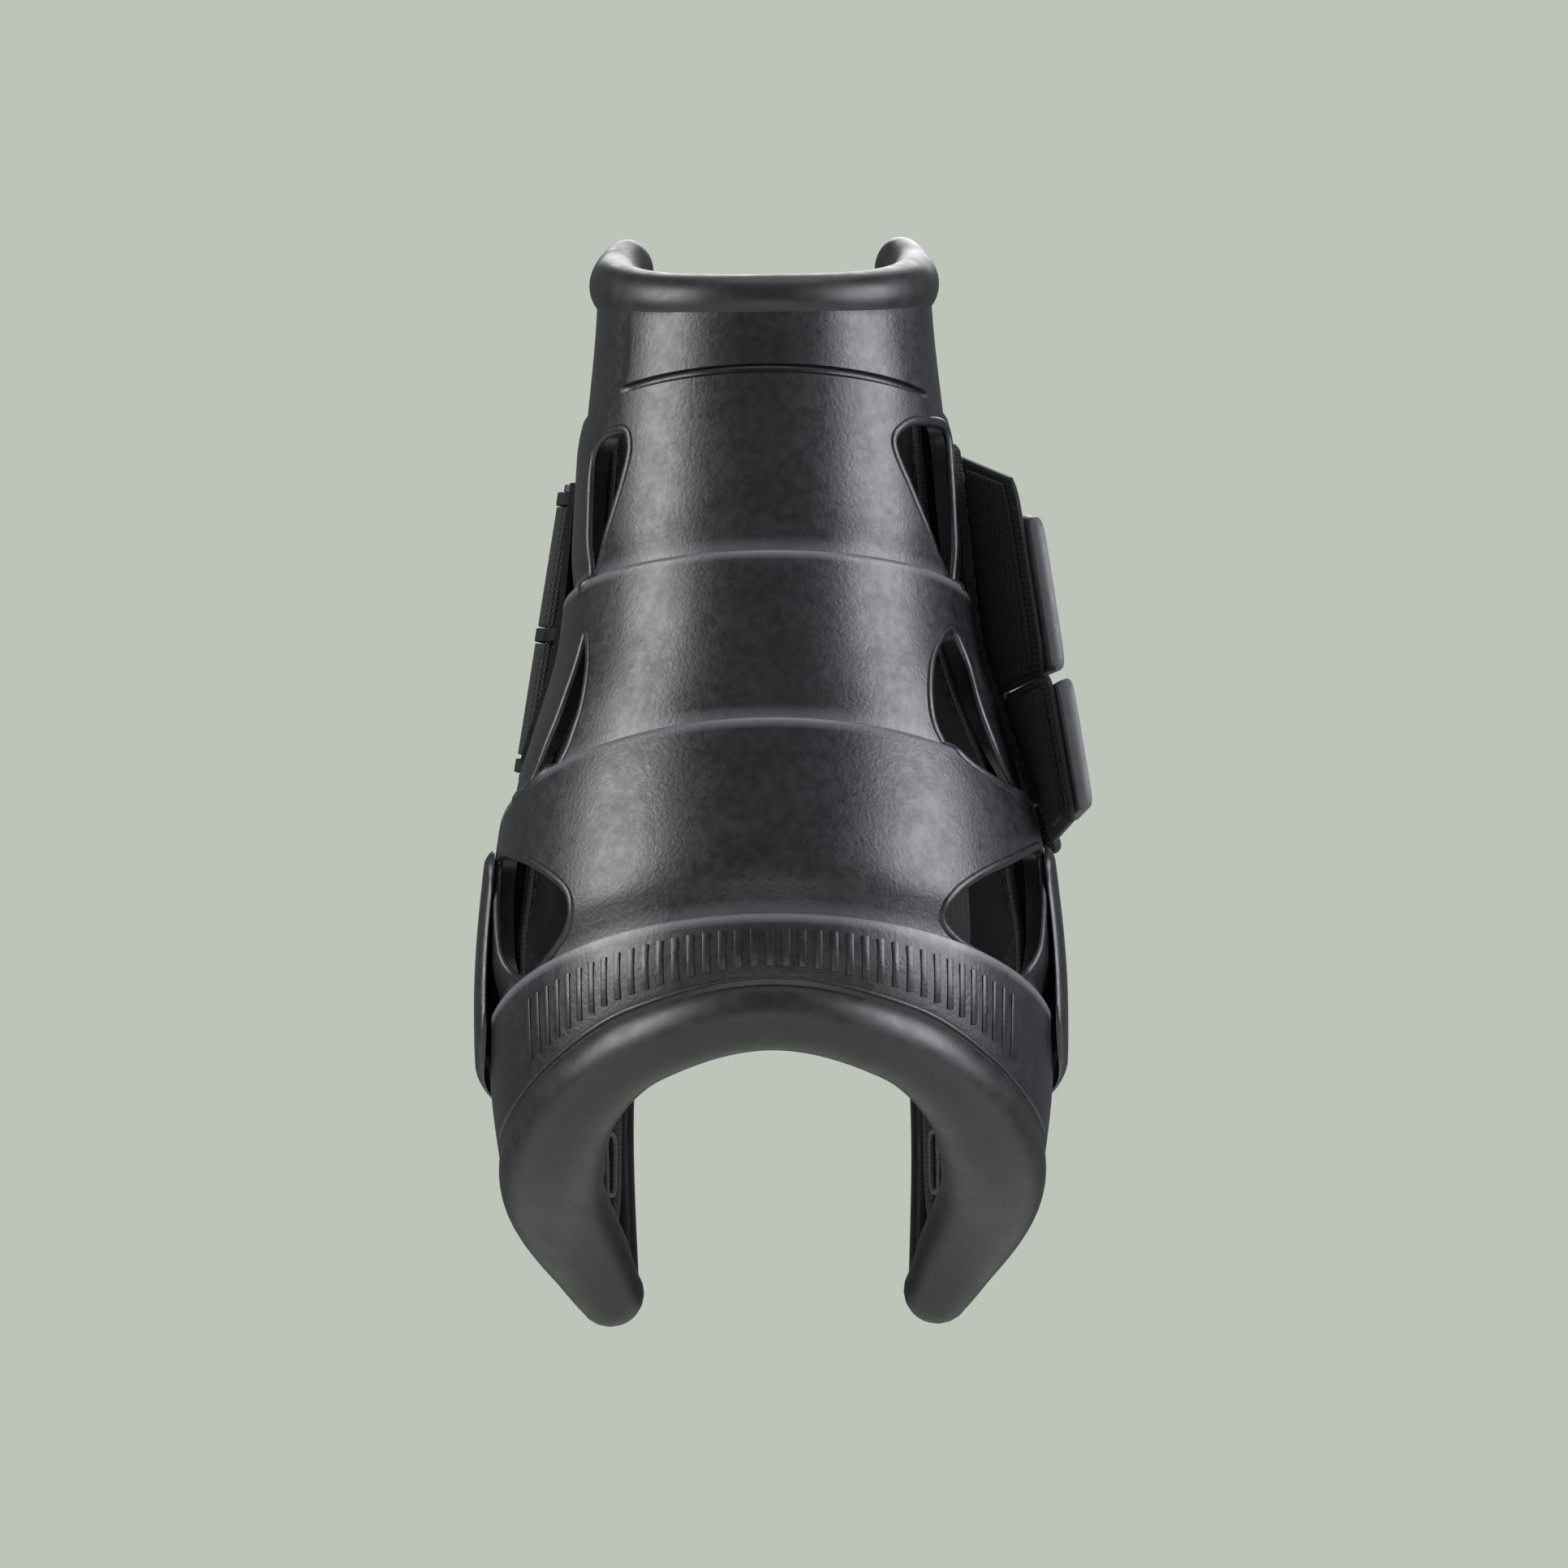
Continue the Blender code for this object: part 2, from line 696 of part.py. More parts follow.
def side_guard(side, name, made_of):
    """The raised, slotted guard on one flank."""

    def place(column, row):
        rounded = math.sqrt(max(0, 1 - abs(column) ** 6))
        low, high = heights(GUARD_HEIGHT_SHARES)
        middle = (high + low) / 2
        half = (high - low) / 2 * mix(GUARD_END_SHARE, 1, rounded)
        height = middle + half * (2 * row - 1) - GUARD_FALL * column
        angle = mix(GUARD_START, GUARD_END, (column + 1) / 2)
        return side * angle, height

    def face(column, row, out):
        angle, height = place(column, row)
        taper = min(1, 4 * (1 - abs(column)) + 1 / 2) * min(1, 5 * (1 - abs(2 * row - 1)) + 1 / 2)
        return on_shell(angle, height, PLATE_LIP + SEAT_GAP + out * taper)

    made = sheet(
        *GUARD_GRID,
        lambda column, row: face(column, row, GUARD_THICKNESS),
        lambda column, row: face(column, row, 0.0),
    )
    guard = finish(name, made, made_of)
    for index in range(GUARD_SLOTS):
        column = (2 * index + 1) / GUARD_SLOTS - 1
        middle, low = place(column * GUARD_SLOT_SPREAD_SHARE, 0)
        high = place(column * GUARD_SLOT_SPREAD_SHARE, 1)[1]

        def slot_face(across, row, out, middle=middle, low=low, high=high):
            height = mix(low + GUARD_SLOT_MARGIN, high - GUARD_SLOT_MARGIN, row)
            narrow = mix(GUARD_SLOT_END_SHARE, 1, math.sqrt(max(0, 1 - abs(2 * row - 1) ** 8)))
            return on_shell(middle + across * GUARD_SLOT_HALF_ANGLE * narrow, height, out)

        slot = sheet(
            1,
            GUARD_SLOT_ROWS,
            lambda across, row: slot_face(across, row, OVERRUN),
            lambda across, row: slot_face(across, row, 0.0),
        )
        boolean(guard, helper(f"{name}_slot_{index}", slot), "DIFFERENCE")
    return guard


def panel(name, start, end, bottom, top, near, far, made_of):
    """A thin panel that lies over the shell's outer face, with rounded corners."""

    def place(column, row):
        drawn = 1 - (2 * row - 1) ** 8 * PANEL_CORNER_SHARE
        angle = (start + end) / 2 + column * (end - start) / 2 * drawn
        return angle, mix(bottom, top, row)

    made = sheet(
        *PANEL_GRID,
        lambda column, row: on_shell(*place(column, row), far),
        lambda column, row: on_shell(*place(column, row), near),
    )
    return finish(name, made, made_of)


def bar_point(height):
    """The point of the strap bar's axis at a height."""
    standoff = PLATE_LIP + SEAT_GAP + SEAT_THICKNESS + EYE_CLEARANCE + STRAP_EYE_RADIUS
    bar_low, bar_high = heights(BAR_HEIGHT_SHARES)
    low = on_shell(BAR_ANGLE, bar_low, standoff)
    high = on_shell(BAR_ANGLE, bar_high, standoff)
    return low.lerp(high, (height - bar_low) / (bar_high - bar_low))


def bar_ends():
    """The two ends of the strap bar's axis between its heads."""
    low, high = heights(BAR_HEIGHT_SHARES)
    return bar_point(low), bar_point(high)


def bar_direction():
    low, high = bar_ends()
    return (high - low).normalized()


def bar_bore():
    """A rod along the whole strap bar and past its ends, wider than the bar by its clearance."""
    low, high = bar_ends()
    run_out = bar_direction() * OVERRUN
    return rod(low - run_out, high + run_out, BAR_RADIUS + BAR_CLEARANCE)


def strap_seat(made_of):
    """The moulded seat on the left flank whose three lugs hold the strap bar."""
    seat_low, seat_high = heights(BAR_HEIGHT_SHARES)
    seat = panel(
        "strap_seat",
        SEAT_START,
        SEAT_END,
        seat_low,
        seat_high,
        PLATE_LIP + SEAT_GAP,
        PLATE_LIP + SEAT_GAP + SEAT_THICKNESS,
        made_of,
    )
    along = bar_direction()
    lower_strap, upper_strap = (heights(STRAP_HEIGHT_SHARES[level]["bar"]) for level in ("lower", "upper"))
    lugs = {
        "low": seat_low + LUG_THICKNESS / 2,
        "middle": (lower_strap[1] + upper_strap[0]) / 2,
        "high": seat_high - LUG_THICKNESS / 2,
    }
    for name, height in lugs.items():
        centre = bar_point(height)
        ring = rod(centre - along * LUG_THICKNESS / 2, centre + along * LUG_THICKNESS / 2, LUG_RADIUS)
        boolean(seat, helper(f"lug_ring_{name}", ring), "UNION")
        out = outward(BAR_ANGLE, height)
        side = along.cross(out).normalized()
        foot = bmesh.new()
        frame = Matrix.Identity(4)
        root = on_shell(BAR_ANGLE, height, PLATE_LIP + SEAT_GAP + SEAT_THICKNESS / 2)
        frame.col[0].xyz = side * LUG_RADIUS * 2
        frame.col[1].xyz = out * (centre - root).length
        frame.col[2].xyz = along * LUG_THICKNESS
        frame.col[3].xyz = (centre + root) / 2
        bmesh.ops.create_cube(foot, size=1, matrix=frame)
        boolean(seat, helper(f"lug_foot_{name}", foot), "UNION")
    boolean(seat, helper("seat_bore", bar_bore()), "DIFFERENCE")
    return seat


def strap_bar(made_of):
    """The bar that the straps loop round, with a head at each end."""
    gap, head = bar_direction() * SEAT_GAP, bar_direction() * BAR_HEAD_LENGTH
    low, high = bar_ends()[0] - gap, bar_ends()[1] + gap
    bar = finish("strap_bar", rod(low - head / 2, high + head / 2, BAR_RADIUS), made_of)
    boolean(bar, helper("bar_head_low", rod(low - head, low, BAR_HEAD_RADIUS)), "UNION")
    boolean(bar, helper("bar_head_high", rod(high, high + head, BAR_HEAD_RADIUS)), "UNION")
    return bar


def hinge_point(level, height):
    """The point at a height on the fold between a strap and its flap."""
    standoff = PLATE_LIP + SEAT_GAP + LOOP_THICKNESS + FLAP_CLEARANCE + FLAP_BEAD_RADIUS
    fold_low, fold_high = heights(FOLD_HEIGHT_SHARES[level])
    low = on_shell(FOLD_ANGLES[level], fold_low, standoff)
    high = on_shell(FOLD_ANGLES[level], fold_high, standoff)
    return low.lerp(high, (height - fold_low) / (fold_high - fold_low))


def strap(level, made_of):
    """One elastic strap, from its loop on the bar round the open front to its flap."""
    bar_low, bar_high = heights(STRAP_HEIGHT_SHARES[level]["bar"])
    flap_low, flap_high = heights(STRAP_HEIGHT_SHARES[level]["flap"])
    fold_low, fold_high = heights(FOLD_HEIGHT_SHARES[level])
    standoff = PLATE_LIP + SEAT_GAP + LOOP_THICKNESS + STRAP_CLEARANCE + STRAP_THICKNESS / 2
    bar_angle = 2 * math.pi + BAR_ANGLE
    flap_angle = FOLD_ANGLES[level]

    def place(column, row, out):
        part = (column + 1) / 2
        angle = mix(flap_angle + STRAP_SHORT, bar_angle, part)
        height = mix(mix(flap_low, bar_low, part), mix(flap_high, bar_high, part), row)
        middle = on_shell(angle, height, standoff)
        to_bar = ease((angle - bar_angle + STRAP_BLEND) / STRAP_BLEND)
        to_flap = ease((flap_angle + STRAP_BLEND - angle) / STRAP_BLEND)
        middle = middle.lerp(bar_point(height), to_bar)
        middle = middle.lerp(hinge_point(level, height), to_flap)
        return middle + outward(angle, height) * out

    made = sheet(
        *STRAP_GRID,
        lambda column, row: place(column, row, STRAP_THICKNESS / 2),
        lambda column, row: place(column, row, -STRAP_THICKNESS / 2),
    )
    piece = finish(f"strap_{level}", made, made_of)
    eye = rod(bar_point(bar_low), bar_point(bar_high), STRAP_EYE_RADIUS)
    boolean(piece, helper(f"strap_eye_{level}", eye), "UNION")
    boolean(piece, helper(f"strap_bore_{level}", bar_bore()), "DIFFERENCE", "MANIFOLD")
    fold = rod(
        hinge_point(level, fold_low - OVERRUN),
        hinge_point(level, fold_high + OVERRUN),
        FLAP_BEAD_RADIUS + SEAT_GAP,
    )
    boolean(piece, helper(f"strap_fold_{level}", fold), "DIFFERENCE")
    return piece


def flap_place(level, along, rise):
    """A point of the flap's middle face, from its fold (0) to its free edge (1) and from its foot up."""
    fold_low, fold_high = heights(FOLD_HEIGHT_SHARES[level])
    free_low, free_high = heights(FREE_HEIGHT_SHARES[level])
    low_out, high_out = FREE_STANDOFFS[level]
    low = on_shell(FREE_ANGLES[level], free_low, low_out)
    high = on_shell(FREE_ANGLES[level], free_high, high_out)
    fold = hinge_point(level, mix(fold_low, fold_high, rise))
    return fold.lerp(low.lerp(high, rise), along)


def flap_out(level):
    """The direction out of a flap's face."""
    travel = flap_place(level, 1, 1 / 2) - flap_place(level, 0, 1 / 2)
    rise = flap_place(level, 0, 1) - flap_place(level, 0, 0)
    return rise.cross(travel).normalized()


def margin_rise(level):
    """The margin between a flap's edge and its hook patch, as a share of the flap's height."""
    low, high = heights(FOLD_HEIGHT_SHARES[level])
    return HOOK_MARGIN / (high - low)


def flap(level, made_of):
    """The stiff flap at a strap's end, standing off the flank as it does before it is pressed down."""
    low, high = heights(FOLD_HEIGHT_SHARES[level])
    out = flap_out(level)

    def face(column, row, away):
        return flap_place(level, (column + 1) / 2, row) + out * away

    made = sheet(
        *FLAP_GRID,
        lambda column, row: face(column, row, FLAP_THICKNESS / 2),
        lambda column, row: face(column, row, -FLAP_THICKNESS / 2),
    )
    piece = finish(f"flap_{level}", made, made_of)
    bead = rod(hinge_point(level, low), hinge_point(level, high), FLAP_BEAD_RADIUS)
    boolean(piece, helper(f"flap_bead_{level}", bead), "UNION")
    return piece


def flap_layer(name, level, bottom, top, start, end, near, far, made_of):
    """A layer fixed to a flap's face, such as its hook patch or its pull tab."""
    out = flap_out(level)

    def face(column, row, away):
        drawn = 1 - (2 * row - 1) ** 8 * LAYER_CORNER_SHARE
        along = (start + end) / 2 + column * (end - start) / 2 * drawn
        return flap_place(level, along, mix(bottom, top, row)) + out * away

    made = sheet(
        *LAYER_GRID,
        lambda column, row: face(column, row, far),
        lambda column, row: face(column, row, near),
    )
    return finish(name, made, made_of)


def build():
    for old in list(bpy.data.objects):
        bpy.data.objects.remove(old, do_unlink=True)

    moulded = material("moulded_shell", (0.045, 0.045, 0.048), 0.45)
    soft = material("soft_rim", (0.040, 0.040, 0.042), 0.5)
    padding = material("pad_lining", (0.022, 0.022, 0.023), 0.9)
    elastic = material("elastic_webbing", (0.012, 0.012, 0.013), 0.85)
    fastening = material("hook_and_loop", (0.008, 0.008, 0.009), 0.95)
    grip = material("moulded_tab", (0.075, 0.075, 0.078), 0.5)
    metal = material("blackened_steel", (0.03, 0.03, 0.03), 0.35, 1.0)

    shell = outer_shell(moulded)
    rim = finish("bottom_rim", tube(rounded_path(rim_path())), soft)
    cuff = finish("top_cuff", tube(rounded_path(cuff_path())), soft)
    rim_seat = helper("rim_seat", tube(rounded_path(rim_path(), SEAT_GAP)))
    cuff_seat = helper("cuff_seat", tube(rounded_path(cuff_path(), SEAT_GAP)))
    boolean(shell, rim_seat, "DIFFERENCE")
    boolean(shell, helper("cuff_bed", tube(rounded_path(cuff_path(CUFF_RUN_OUT), SEAT_GAP))), "DIFFERENCE")
    for side, name in ((-1, "left"), (1, "right")):
        trim = finish(f"front_trim_{name}", tube(rounded_path(trim_path(side)), TRIM_SIDES), soft)
        boolean(trim, rim_seat, "DIFFERENCE")
        boolean(trim, cuff_seat, "DIFFERENCE")
        side_pad(side, f"side_pad_{name}", padding)
        side_guard(side, f"side_guard_{name}", moulded)
    vents = (
        ("vent_upper_left", UPPER_VENT_LEFT_SHARES, -1),
        ("vent_upper_right", UPPER_VENT_RIGHT_SHARES, 1),
        ("vent_middle_left", MIDDLE_VENT_LEFT_SHARES, -1),
        ("vent_middle_right", MIDDLE_VENT_RIGHT_SHARES, 1),
        ("vent_lower_left", LOWER_VENT_LEFT_SHARES, -1),
        ("vent_lower_right", LOWER_VENT_RIGHT_SHARES, 1),
    )
    for name, shares, side in vents:
        boolean(shell, vent_cutter(name, shares, side), "DIFFERENCE")
    back_pad(padding)

    strap_seat(moulded)
    strap_bar(metal)
    near = PLATE_LIP + SEAT_GAP
    far = near + LOOP_THICKNESS
    panel("loop_panel", LOOP_START, LOOP_END, *heights(LOOP_HEIGHT_SHARES), near, far, fastening)
    for level in ("upper", "lower"):
        bar_heights = heights(STRAP_HEIGHT_SHARES[level]["bar"])
        set_origin(strap(level, elastic), bar_point(sum(bar_heights) / 2))
        low, high = heights(FOLD_HEIGHT_SHARES[level])
        inner = -FLAP_THICKNESS / 2 - SEAT_GAP
        patch = flap_layer(
            f"hook_patch_{level}", level, margin_rise(level), 1 - margin_rise(level),
            HOOK_START_SHARES[level], HOOK_END_SHARE, inner - HOOK_THICKNESS, inner, fastening,
        )
        outer = FLAP_THICKNESS / 2 + SEAT_GAP
        tab = flap_layer(
            f"tab_{level}", level, *TAB_RISE_SHARES[level],
            TAB_START_SHARE, TAB_END_SHARE, outer, outer + TAB_THICKNESS, grip,
        )
        fold = hinge_point(level, (low + high) / 2)
        for piece in (flap(level, elastic), patch, tab):
            set_origin(piece, fold)


build()
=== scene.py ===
"""Looks of a fetlock boot: moulded shell, padded rims, quilted lining and two hook-and-loop straps.

The frame is the CAD model's: the closed back faces -Y, +Z is up along the leg, and angles go round the
leg from the middle of the back, positive towards +X. All lengths are metres.
"""

import bisect
import functools
import math

import bmesh
import bpy
from mathutils import Matrix, Vector, noise


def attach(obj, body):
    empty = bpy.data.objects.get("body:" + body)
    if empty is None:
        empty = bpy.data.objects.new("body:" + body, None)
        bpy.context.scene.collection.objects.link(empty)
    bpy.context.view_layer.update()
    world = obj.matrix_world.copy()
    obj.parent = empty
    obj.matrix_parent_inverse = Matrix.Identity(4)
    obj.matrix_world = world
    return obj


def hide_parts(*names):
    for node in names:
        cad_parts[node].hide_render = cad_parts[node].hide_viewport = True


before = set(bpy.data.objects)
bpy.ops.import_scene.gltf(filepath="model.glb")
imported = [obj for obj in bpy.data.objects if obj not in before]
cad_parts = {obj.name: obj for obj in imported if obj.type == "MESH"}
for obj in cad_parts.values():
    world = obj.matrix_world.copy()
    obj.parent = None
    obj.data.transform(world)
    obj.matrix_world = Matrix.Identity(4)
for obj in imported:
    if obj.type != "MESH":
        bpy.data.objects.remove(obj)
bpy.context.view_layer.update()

# Shell
BOOT_HEIGHT = 0.188
HALF_WIDTH = 0.0487
BACK_DEPTH = 0.0515
FRONT_DEPTH = 0.046
WALL = 0.003
SEAT_GAP = 0.0003

# Level, half width, back depth and front depth of the shell, each a share of its overall size
SECTION_SHARES = (
    (0.00, 0.890, 0.800, 0.900),
    (0.10, 0.945, 0.900, 0.960),
    (0.19, 0.990, 0.955, 1.000),
    (0.28, 1.000, 1.000, 1.000),
    (0.37, 0.975, 0.965, 0.965),
    (0.45, 0.928, 0.880, 0.920),
    (0.525, 0.825, 0.800, 0.855),
    (0.60, 0.733, 0.730, 0.800),
    (0.70, 0.687, 0.670, 0.750),
    (0.80, 0.651, 0.630, 0.720),
    (0.90, 0.612, 0.610, 0.700),
    (1.00, 0.594, 0.600, 0.680),
)

# Level, and half the width of the open front there as a share of the shell's half width; towards the
# top it widens again, which rounds off the wings' upper corners
MOUTH_SHARES = (
    (0.00, 0.567),
    (0.21, 0.583),
    (0.50, 0.500),
    (0.76, 0.462),
    (0.84, 0.462),
    (0.96, 0.558),
    (1.00, 0.575),
)

# Design lines: the share of the boot's height at which each crosses the middle of the back, and the
# share of the way forward by which it falls
GROOVE_SHARES = (0.8324, 0.115)
UPPER_STEP_SHARES = (0.6612, 0.085)
LOWER_STEP_SHARES = (0.5016, 0.27)
CREASE_SHARES = (0.3149, 0.27)
GROOVE_WIDTH = 0.0016
GROOVE_DEPTH = 0.0011
EDGE_ROUND = 0.0009
PLATE_LIP = 0.0007
PLATE_TUCK = 0.0011
CREASE_TUCK = 0.0020
CUFF_INSET = 0.0015
RIM_INSET = 0.0012
# How far the painted highlight reaches on either side of a plate's lip
LIP_HIGHLIGHT_REACH = 0.00144

# The shell's mesh: its columns, and its rows, which crowd where its face turns. The groove's rows are
# shares of half its width, and a lip's and the crease's are shares of the edge's rounding
SHELL_COLUMNS = 150
SETTLING_ROUNDS = 3
PLAIN_ROWS = 6
PLATE_ROWS = 12
PLATE_START_SHARES = (0.10, 0.06)
PLATE_END_SHARE = 0.995
LAST_ROW = 0.02
GROOVE_ROWS = (1.6, 1.0, 0.85, 0.6, 0.3, 0.0, -0.3, -0.6, -0.85, -1.0, -1.3)
LIP_ROWS = (0.002, 0.03, 0.1, 0.22, 0.4, 0.65, 1.0)
CREASE_ROWS = (0.002, 0.05, 0.2, 0.5, 1.0)

# Seams: the angle at which the collar's raised back panel ends on each side, and how far it stands proud
SEAM_ANGLES = (math.radians(-51), math.radians(63))
SEAM_BLEND = math.radians(2.2)
SEAM_STEP = 0.0006
SEAM_REACH = 0.005

# Height down a plate, and how far its face stands out (of the lip) or tucks in (of the tuck)
PLATE_SHARES = (
    (0.00, 1.00),
    (0.30, 0.75),
    (0.60, 0.40),
    (0.80, -0.15),
    (0.91, -0.75),
    (1.00, -1.00),
)

# Padded bottom rim: angle share, height share, radius share and proud share, from back to tip
RIM_END_ANGLE = math.radians(133)
RIM_BACK_SHARE = 0.2277
RIM_RADIUS = 0.009
RIM_PROUD = 0.0022
RIM_SHARES = (
    (-0.226, 0.900, 0.74, 0.85),
    (0.000, 1.000, 0.70, 1.00),
    (0.226, 0.900, 0.74, 0.85),
    (0.376, 0.755, 0.83, 0.60),
    (0.489, 0.640, 0.93, 0.40),
    (0.602, 0.545, 1.00, 0.30),
    (0.714, 0.455, 0.98, 0.25),
    (0.827, 0.355, 0.92, 0.20),
    (0.917, 0.250, 0.82, 0.20),
    (1.000, 0.105, 0.65, 0.20),
)

# Rolled top cuff: angle share, height share and half-height share, from back to front corner
CUFF_END_ANGLE = math.radians(113)
CUFF_HALF_HEIGHT = 0.006
CUFF_HALF_THICKNESS = 0.0044
CUFF_PROUD = 0.0009
CUFF_SHARES = (
    (-0.38, 0.938, 0.78),
    (0.00, 0.928, 0.76),
    (0.38, 0.938, 0.78),
    (0.80, 0.973, 0.88),
    (1.00, 0.999, 0.90),
)

# Edge trims
TRIM_RADIUS = 0.0024
TRIM_STANDOFF = 0.0014

# Rolls: how many places along and sides round each has, and the turns by which its ends close
RIM_MESH = (180, 48)
CUFF_MESH = (150, 40)
TRIM_MESH = (90, 20)
BEAD_MESH = (120, 10)
BEAD_SIDES = 16
FINE_SIDES = 12
CAP_TURNS = tuple(math.radians(turn) for turn in (15, 30, 45, 60, 72, 82, 88))

# Air vents: outlines in angle, as a share of a right angle, and in height, as a share of the boot's
VENT_SHARES = {
    "upper_left": (
        (0.505, 0.769), (0.545, 0.787), (0.690, 0.783), (0.745, 0.760), (0.745, 0.713),
        (0.740, 0.675), (0.733, 0.646), (0.650, 0.674), (0.582, 0.707), (0.530, 0.740),
    ),
    "upper_right": (
        (0.470, 0.768), (0.530, 0.788), (0.650, 0.796), (0.860, 0.796), (0.870, 0.745),
        (0.855, 0.700), (0.840, 0.648), (0.720, 0.665), (0.630, 0.690), (0.535, 0.730),
    ),
    "middle_left": (
        (0.670, 0.602), (0.690, 0.564), (0.711, 0.527), (0.755, 0.490), (0.810, 0.451),
        (0.655, 0.471), (0.600, 0.507), (0.589, 0.537), (0.617, 0.575),
    ),
    "middle_right": (
        (0.680, 0.602), (0.562, 0.577), (0.498, 0.539), (0.490, 0.503), (0.548, 0.471),
        (0.700, 0.453), (0.840, 0.455), (0.770, 0.490), (0.735, 0.532), (0.745, 0.575),
    ),
    "lower_left": (
        (0.900, 0.402), (0.700, 0.391), (0.540, 0.360), (0.500, 0.335), (0.545, 0.308),
        (0.667, 0.282), (0.778, 0.287), (0.850, 0.330),
    ),
    "lower_right": (
        (0.900, 0.406), (0.650, 0.381), (0.485, 0.351), (0.428, 0.324), (0.472, 0.303),
        (0.600, 0.286), (0.755, 0.280), (0.850, 0.335),
    ),
}
VENT_STEPS = 8
VENT_LIP_RADIUS = 0.0007
VENT_LIP_SINK_SHARE = 0.55
VENT_LIP_HEIGHT_SHARE = 1.3
CUTTER_REACH = 0.006
CUTTER_DEPTH = 0.012

# Pads inside the shell
PAD_EDGE = 0.0014
PAD_CROWN = 0.0036
PAD_CHANNEL_SHARE = 0.55
PAD_CLEARANCE = 0.0015
PAD_GAP = 0.0005
PAD_CORNER_SHARE = 0.17
PAD_WRINKLE = 0.00035
PAD_WRINKLE_SIZE = 0.009
PAD_WRINKLE_STRETCH = 2.5
PAD_COLUMNS = 100
PAD_CHANNEL_ROWS = 26
PAD_BORDER_STEPS = 60
BACK_PAD_HALF_ANGLE = math.radians(50)
BACK_PAD_DROP = 0.0034
BACK_PAD_CHANNELS = 5
SIDE_PAD_START = math.radians(90)
SIDE_PAD_MARGIN = math.radians(4)
SIDE_PAD_DROP = 0.0134
SIDE_PAD_CHANNELS = 4
PAD_BINDING_SIZE = (0.00072, 0.00135)
PAD_BINDING_INSET = 0.012
SIDE_SLOTS = ((0.62, 0.115), (0.86, 0.105))
SLOT_HALF_COLUMN = 0.085
SLOT_HALF_ROW = 0.037
SLOT_DEPTH_SHARE = 0.8
SLOT_BINDING = 0.00045
SLOT_STEPS = 48
SLOT_SIDES = 10

# Flank guards
GUARD_THICKNESS = 0.0014
GUARD_START = math.radians(79)
GUARD_END = math.radians(122)
GUARD_HEIGHT_SHARES = (0.1968, 0.4043)
GUARD_FALL = 0.0030
GUARD_SLOTS = 3
GUARD_SLOT_HALF_ANGLE = math.radians(1.8)
GUARD_SLOT_MARGIN = 0.0060
GUARD_END_SHARE = 0.6
GUARD_SLOT_SPREAD_SHARE = 0.8
GUARD_SLOT_PRESS = 1.25
GUARD_SLOT_WALL = 2.5
GUARD_ROUNDING = 14
GUARD_EDGE_SHARE = 0.35
GUARD_MESH = (150, 90)

# Strap bar and its seat on the left flank
BAR_ANGLE = math.radians(-118)
BAR_RADIUS = 0.0012
BAR_CLEARANCE = 0.00035
BAR_HEIGHT_SHARES = (0.5053, 0.7633)
SEAT_THICKNESS = 0.0011
EYE_CLEARANCE = 0.0006
STRAP_EYE_RADIUS = 0.0027
LOOP_REACH = 0.0009
EYE_MESH = (36, 6)

# Straps, with the low and high edge of each at its bar and at its flap as shares of the boot's height
STRAP_THICKNESS = 0.0018
STRAP_CLEARANCE = 0.0007
STRAP_BLEND = math.radians(24)
STRAP_SHORT = math.radians(1)
STRAP_EDGE_SHARE = 0.3
STRAP_MESH = (140, 24)
STRAP_HEIGHT_SHARES = {
    "upper": {"bar": (0.6447, 0.7447), "flap": (0.6011, 0.7713)},
    "lower": {"bar": (0.5266, 0.6186), "flap": (0.4362, 0.5532)},
}

# Flaps: the angle of each fold and free edge, and how far each free edge stands off the shell
FLAP_CLEARANCE = 0.0006
UPPER_FREE_STANDOFF = 0.0113
LOWER_FREE_LOW_STANDOFF = 0.0086
LOWER_FREE_HIGH_STANDOFF = 0.0128
FLAP_BEAD_RADIUS = 0.0016
FLAP_THICKNESS = 0.0016
HOOK_THICKNESS = 0.0012
TAB_THICKNESS = 0.0030
FOLD_ANGLES = {"upper": math.radians(116), "lower": math.radians(103)}
FREE_ANGLES = {"upper": math.radians(77.5), "lower": math.radians(72.5)}
FREE_STANDOFFS = {
    "upper": (UPPER_FREE_STANDOFF, UPPER_FREE_STANDOFF),
    "lower": (LOWER_FREE_LOW_STANDOFF, LOWER_FREE_HIGH_STANDOFF),
}
FOLD_HEIGHT_SHARES = {"upper": (0.5665, 0.7979), "lower": (0.4255, 0.5612)}
FREE_HEIGHT_SHARES = {"upper": (0.5665, 0.7480), "lower": (0.4255, 0.5612)}
TAB_RISE_SHARES = {"upper": (0.01, 0.80), "lower": (0.05, 0.94)}
FLAP_START_SHARE = 0.045
FLAP_REACH = 0.00035
HOOK_START_SHARES = {"upper": 0.32, "lower": 0.45}
HOOK_MARGIN = 0.0014
HOOK_END_SHARE = 0.95
TAB_START_SHARE = 0.5
TAB_END_SHARE = 1.05
TAB_RIBS = 7
RIB_COLUMNS = 0.75
RIB_ROWS = 0.86
RIB_DEPTH_SHARE = 0.45
LAYER_CORNER_SHARE = 0.125
LAYER_EDGE_SHARE = 0.35
FLAP_MESH = (40, 80)

# Loop panel on the right flank
LOOP_THICKNESS = 0.0008
LOOP_START = math.radians(92)
LOOP_END = math.radians(134)
LOOP_HEIGHT_SHARES = (0.4574, 0.7872)
PANEL_CORNER_SHARE = 0.1
PANEL_MESH = (60, 90)
PANEL_BORDER_STEPS = 40

# Raised ticks on the bottom band
TICK_HALF_ANGLE = math.radians(58)
TICK_COUNT = 37
TICK_WIDTH = 0.0013
TICK_PROUD = 0.00028
TICK_HEIGHT_SHARE = 0.56
TICK_BEVEL_SHARE = 0.6
BEAD_HALF_ANGLE = math.radians(80)
BEAD_RADIUS = 0.0004

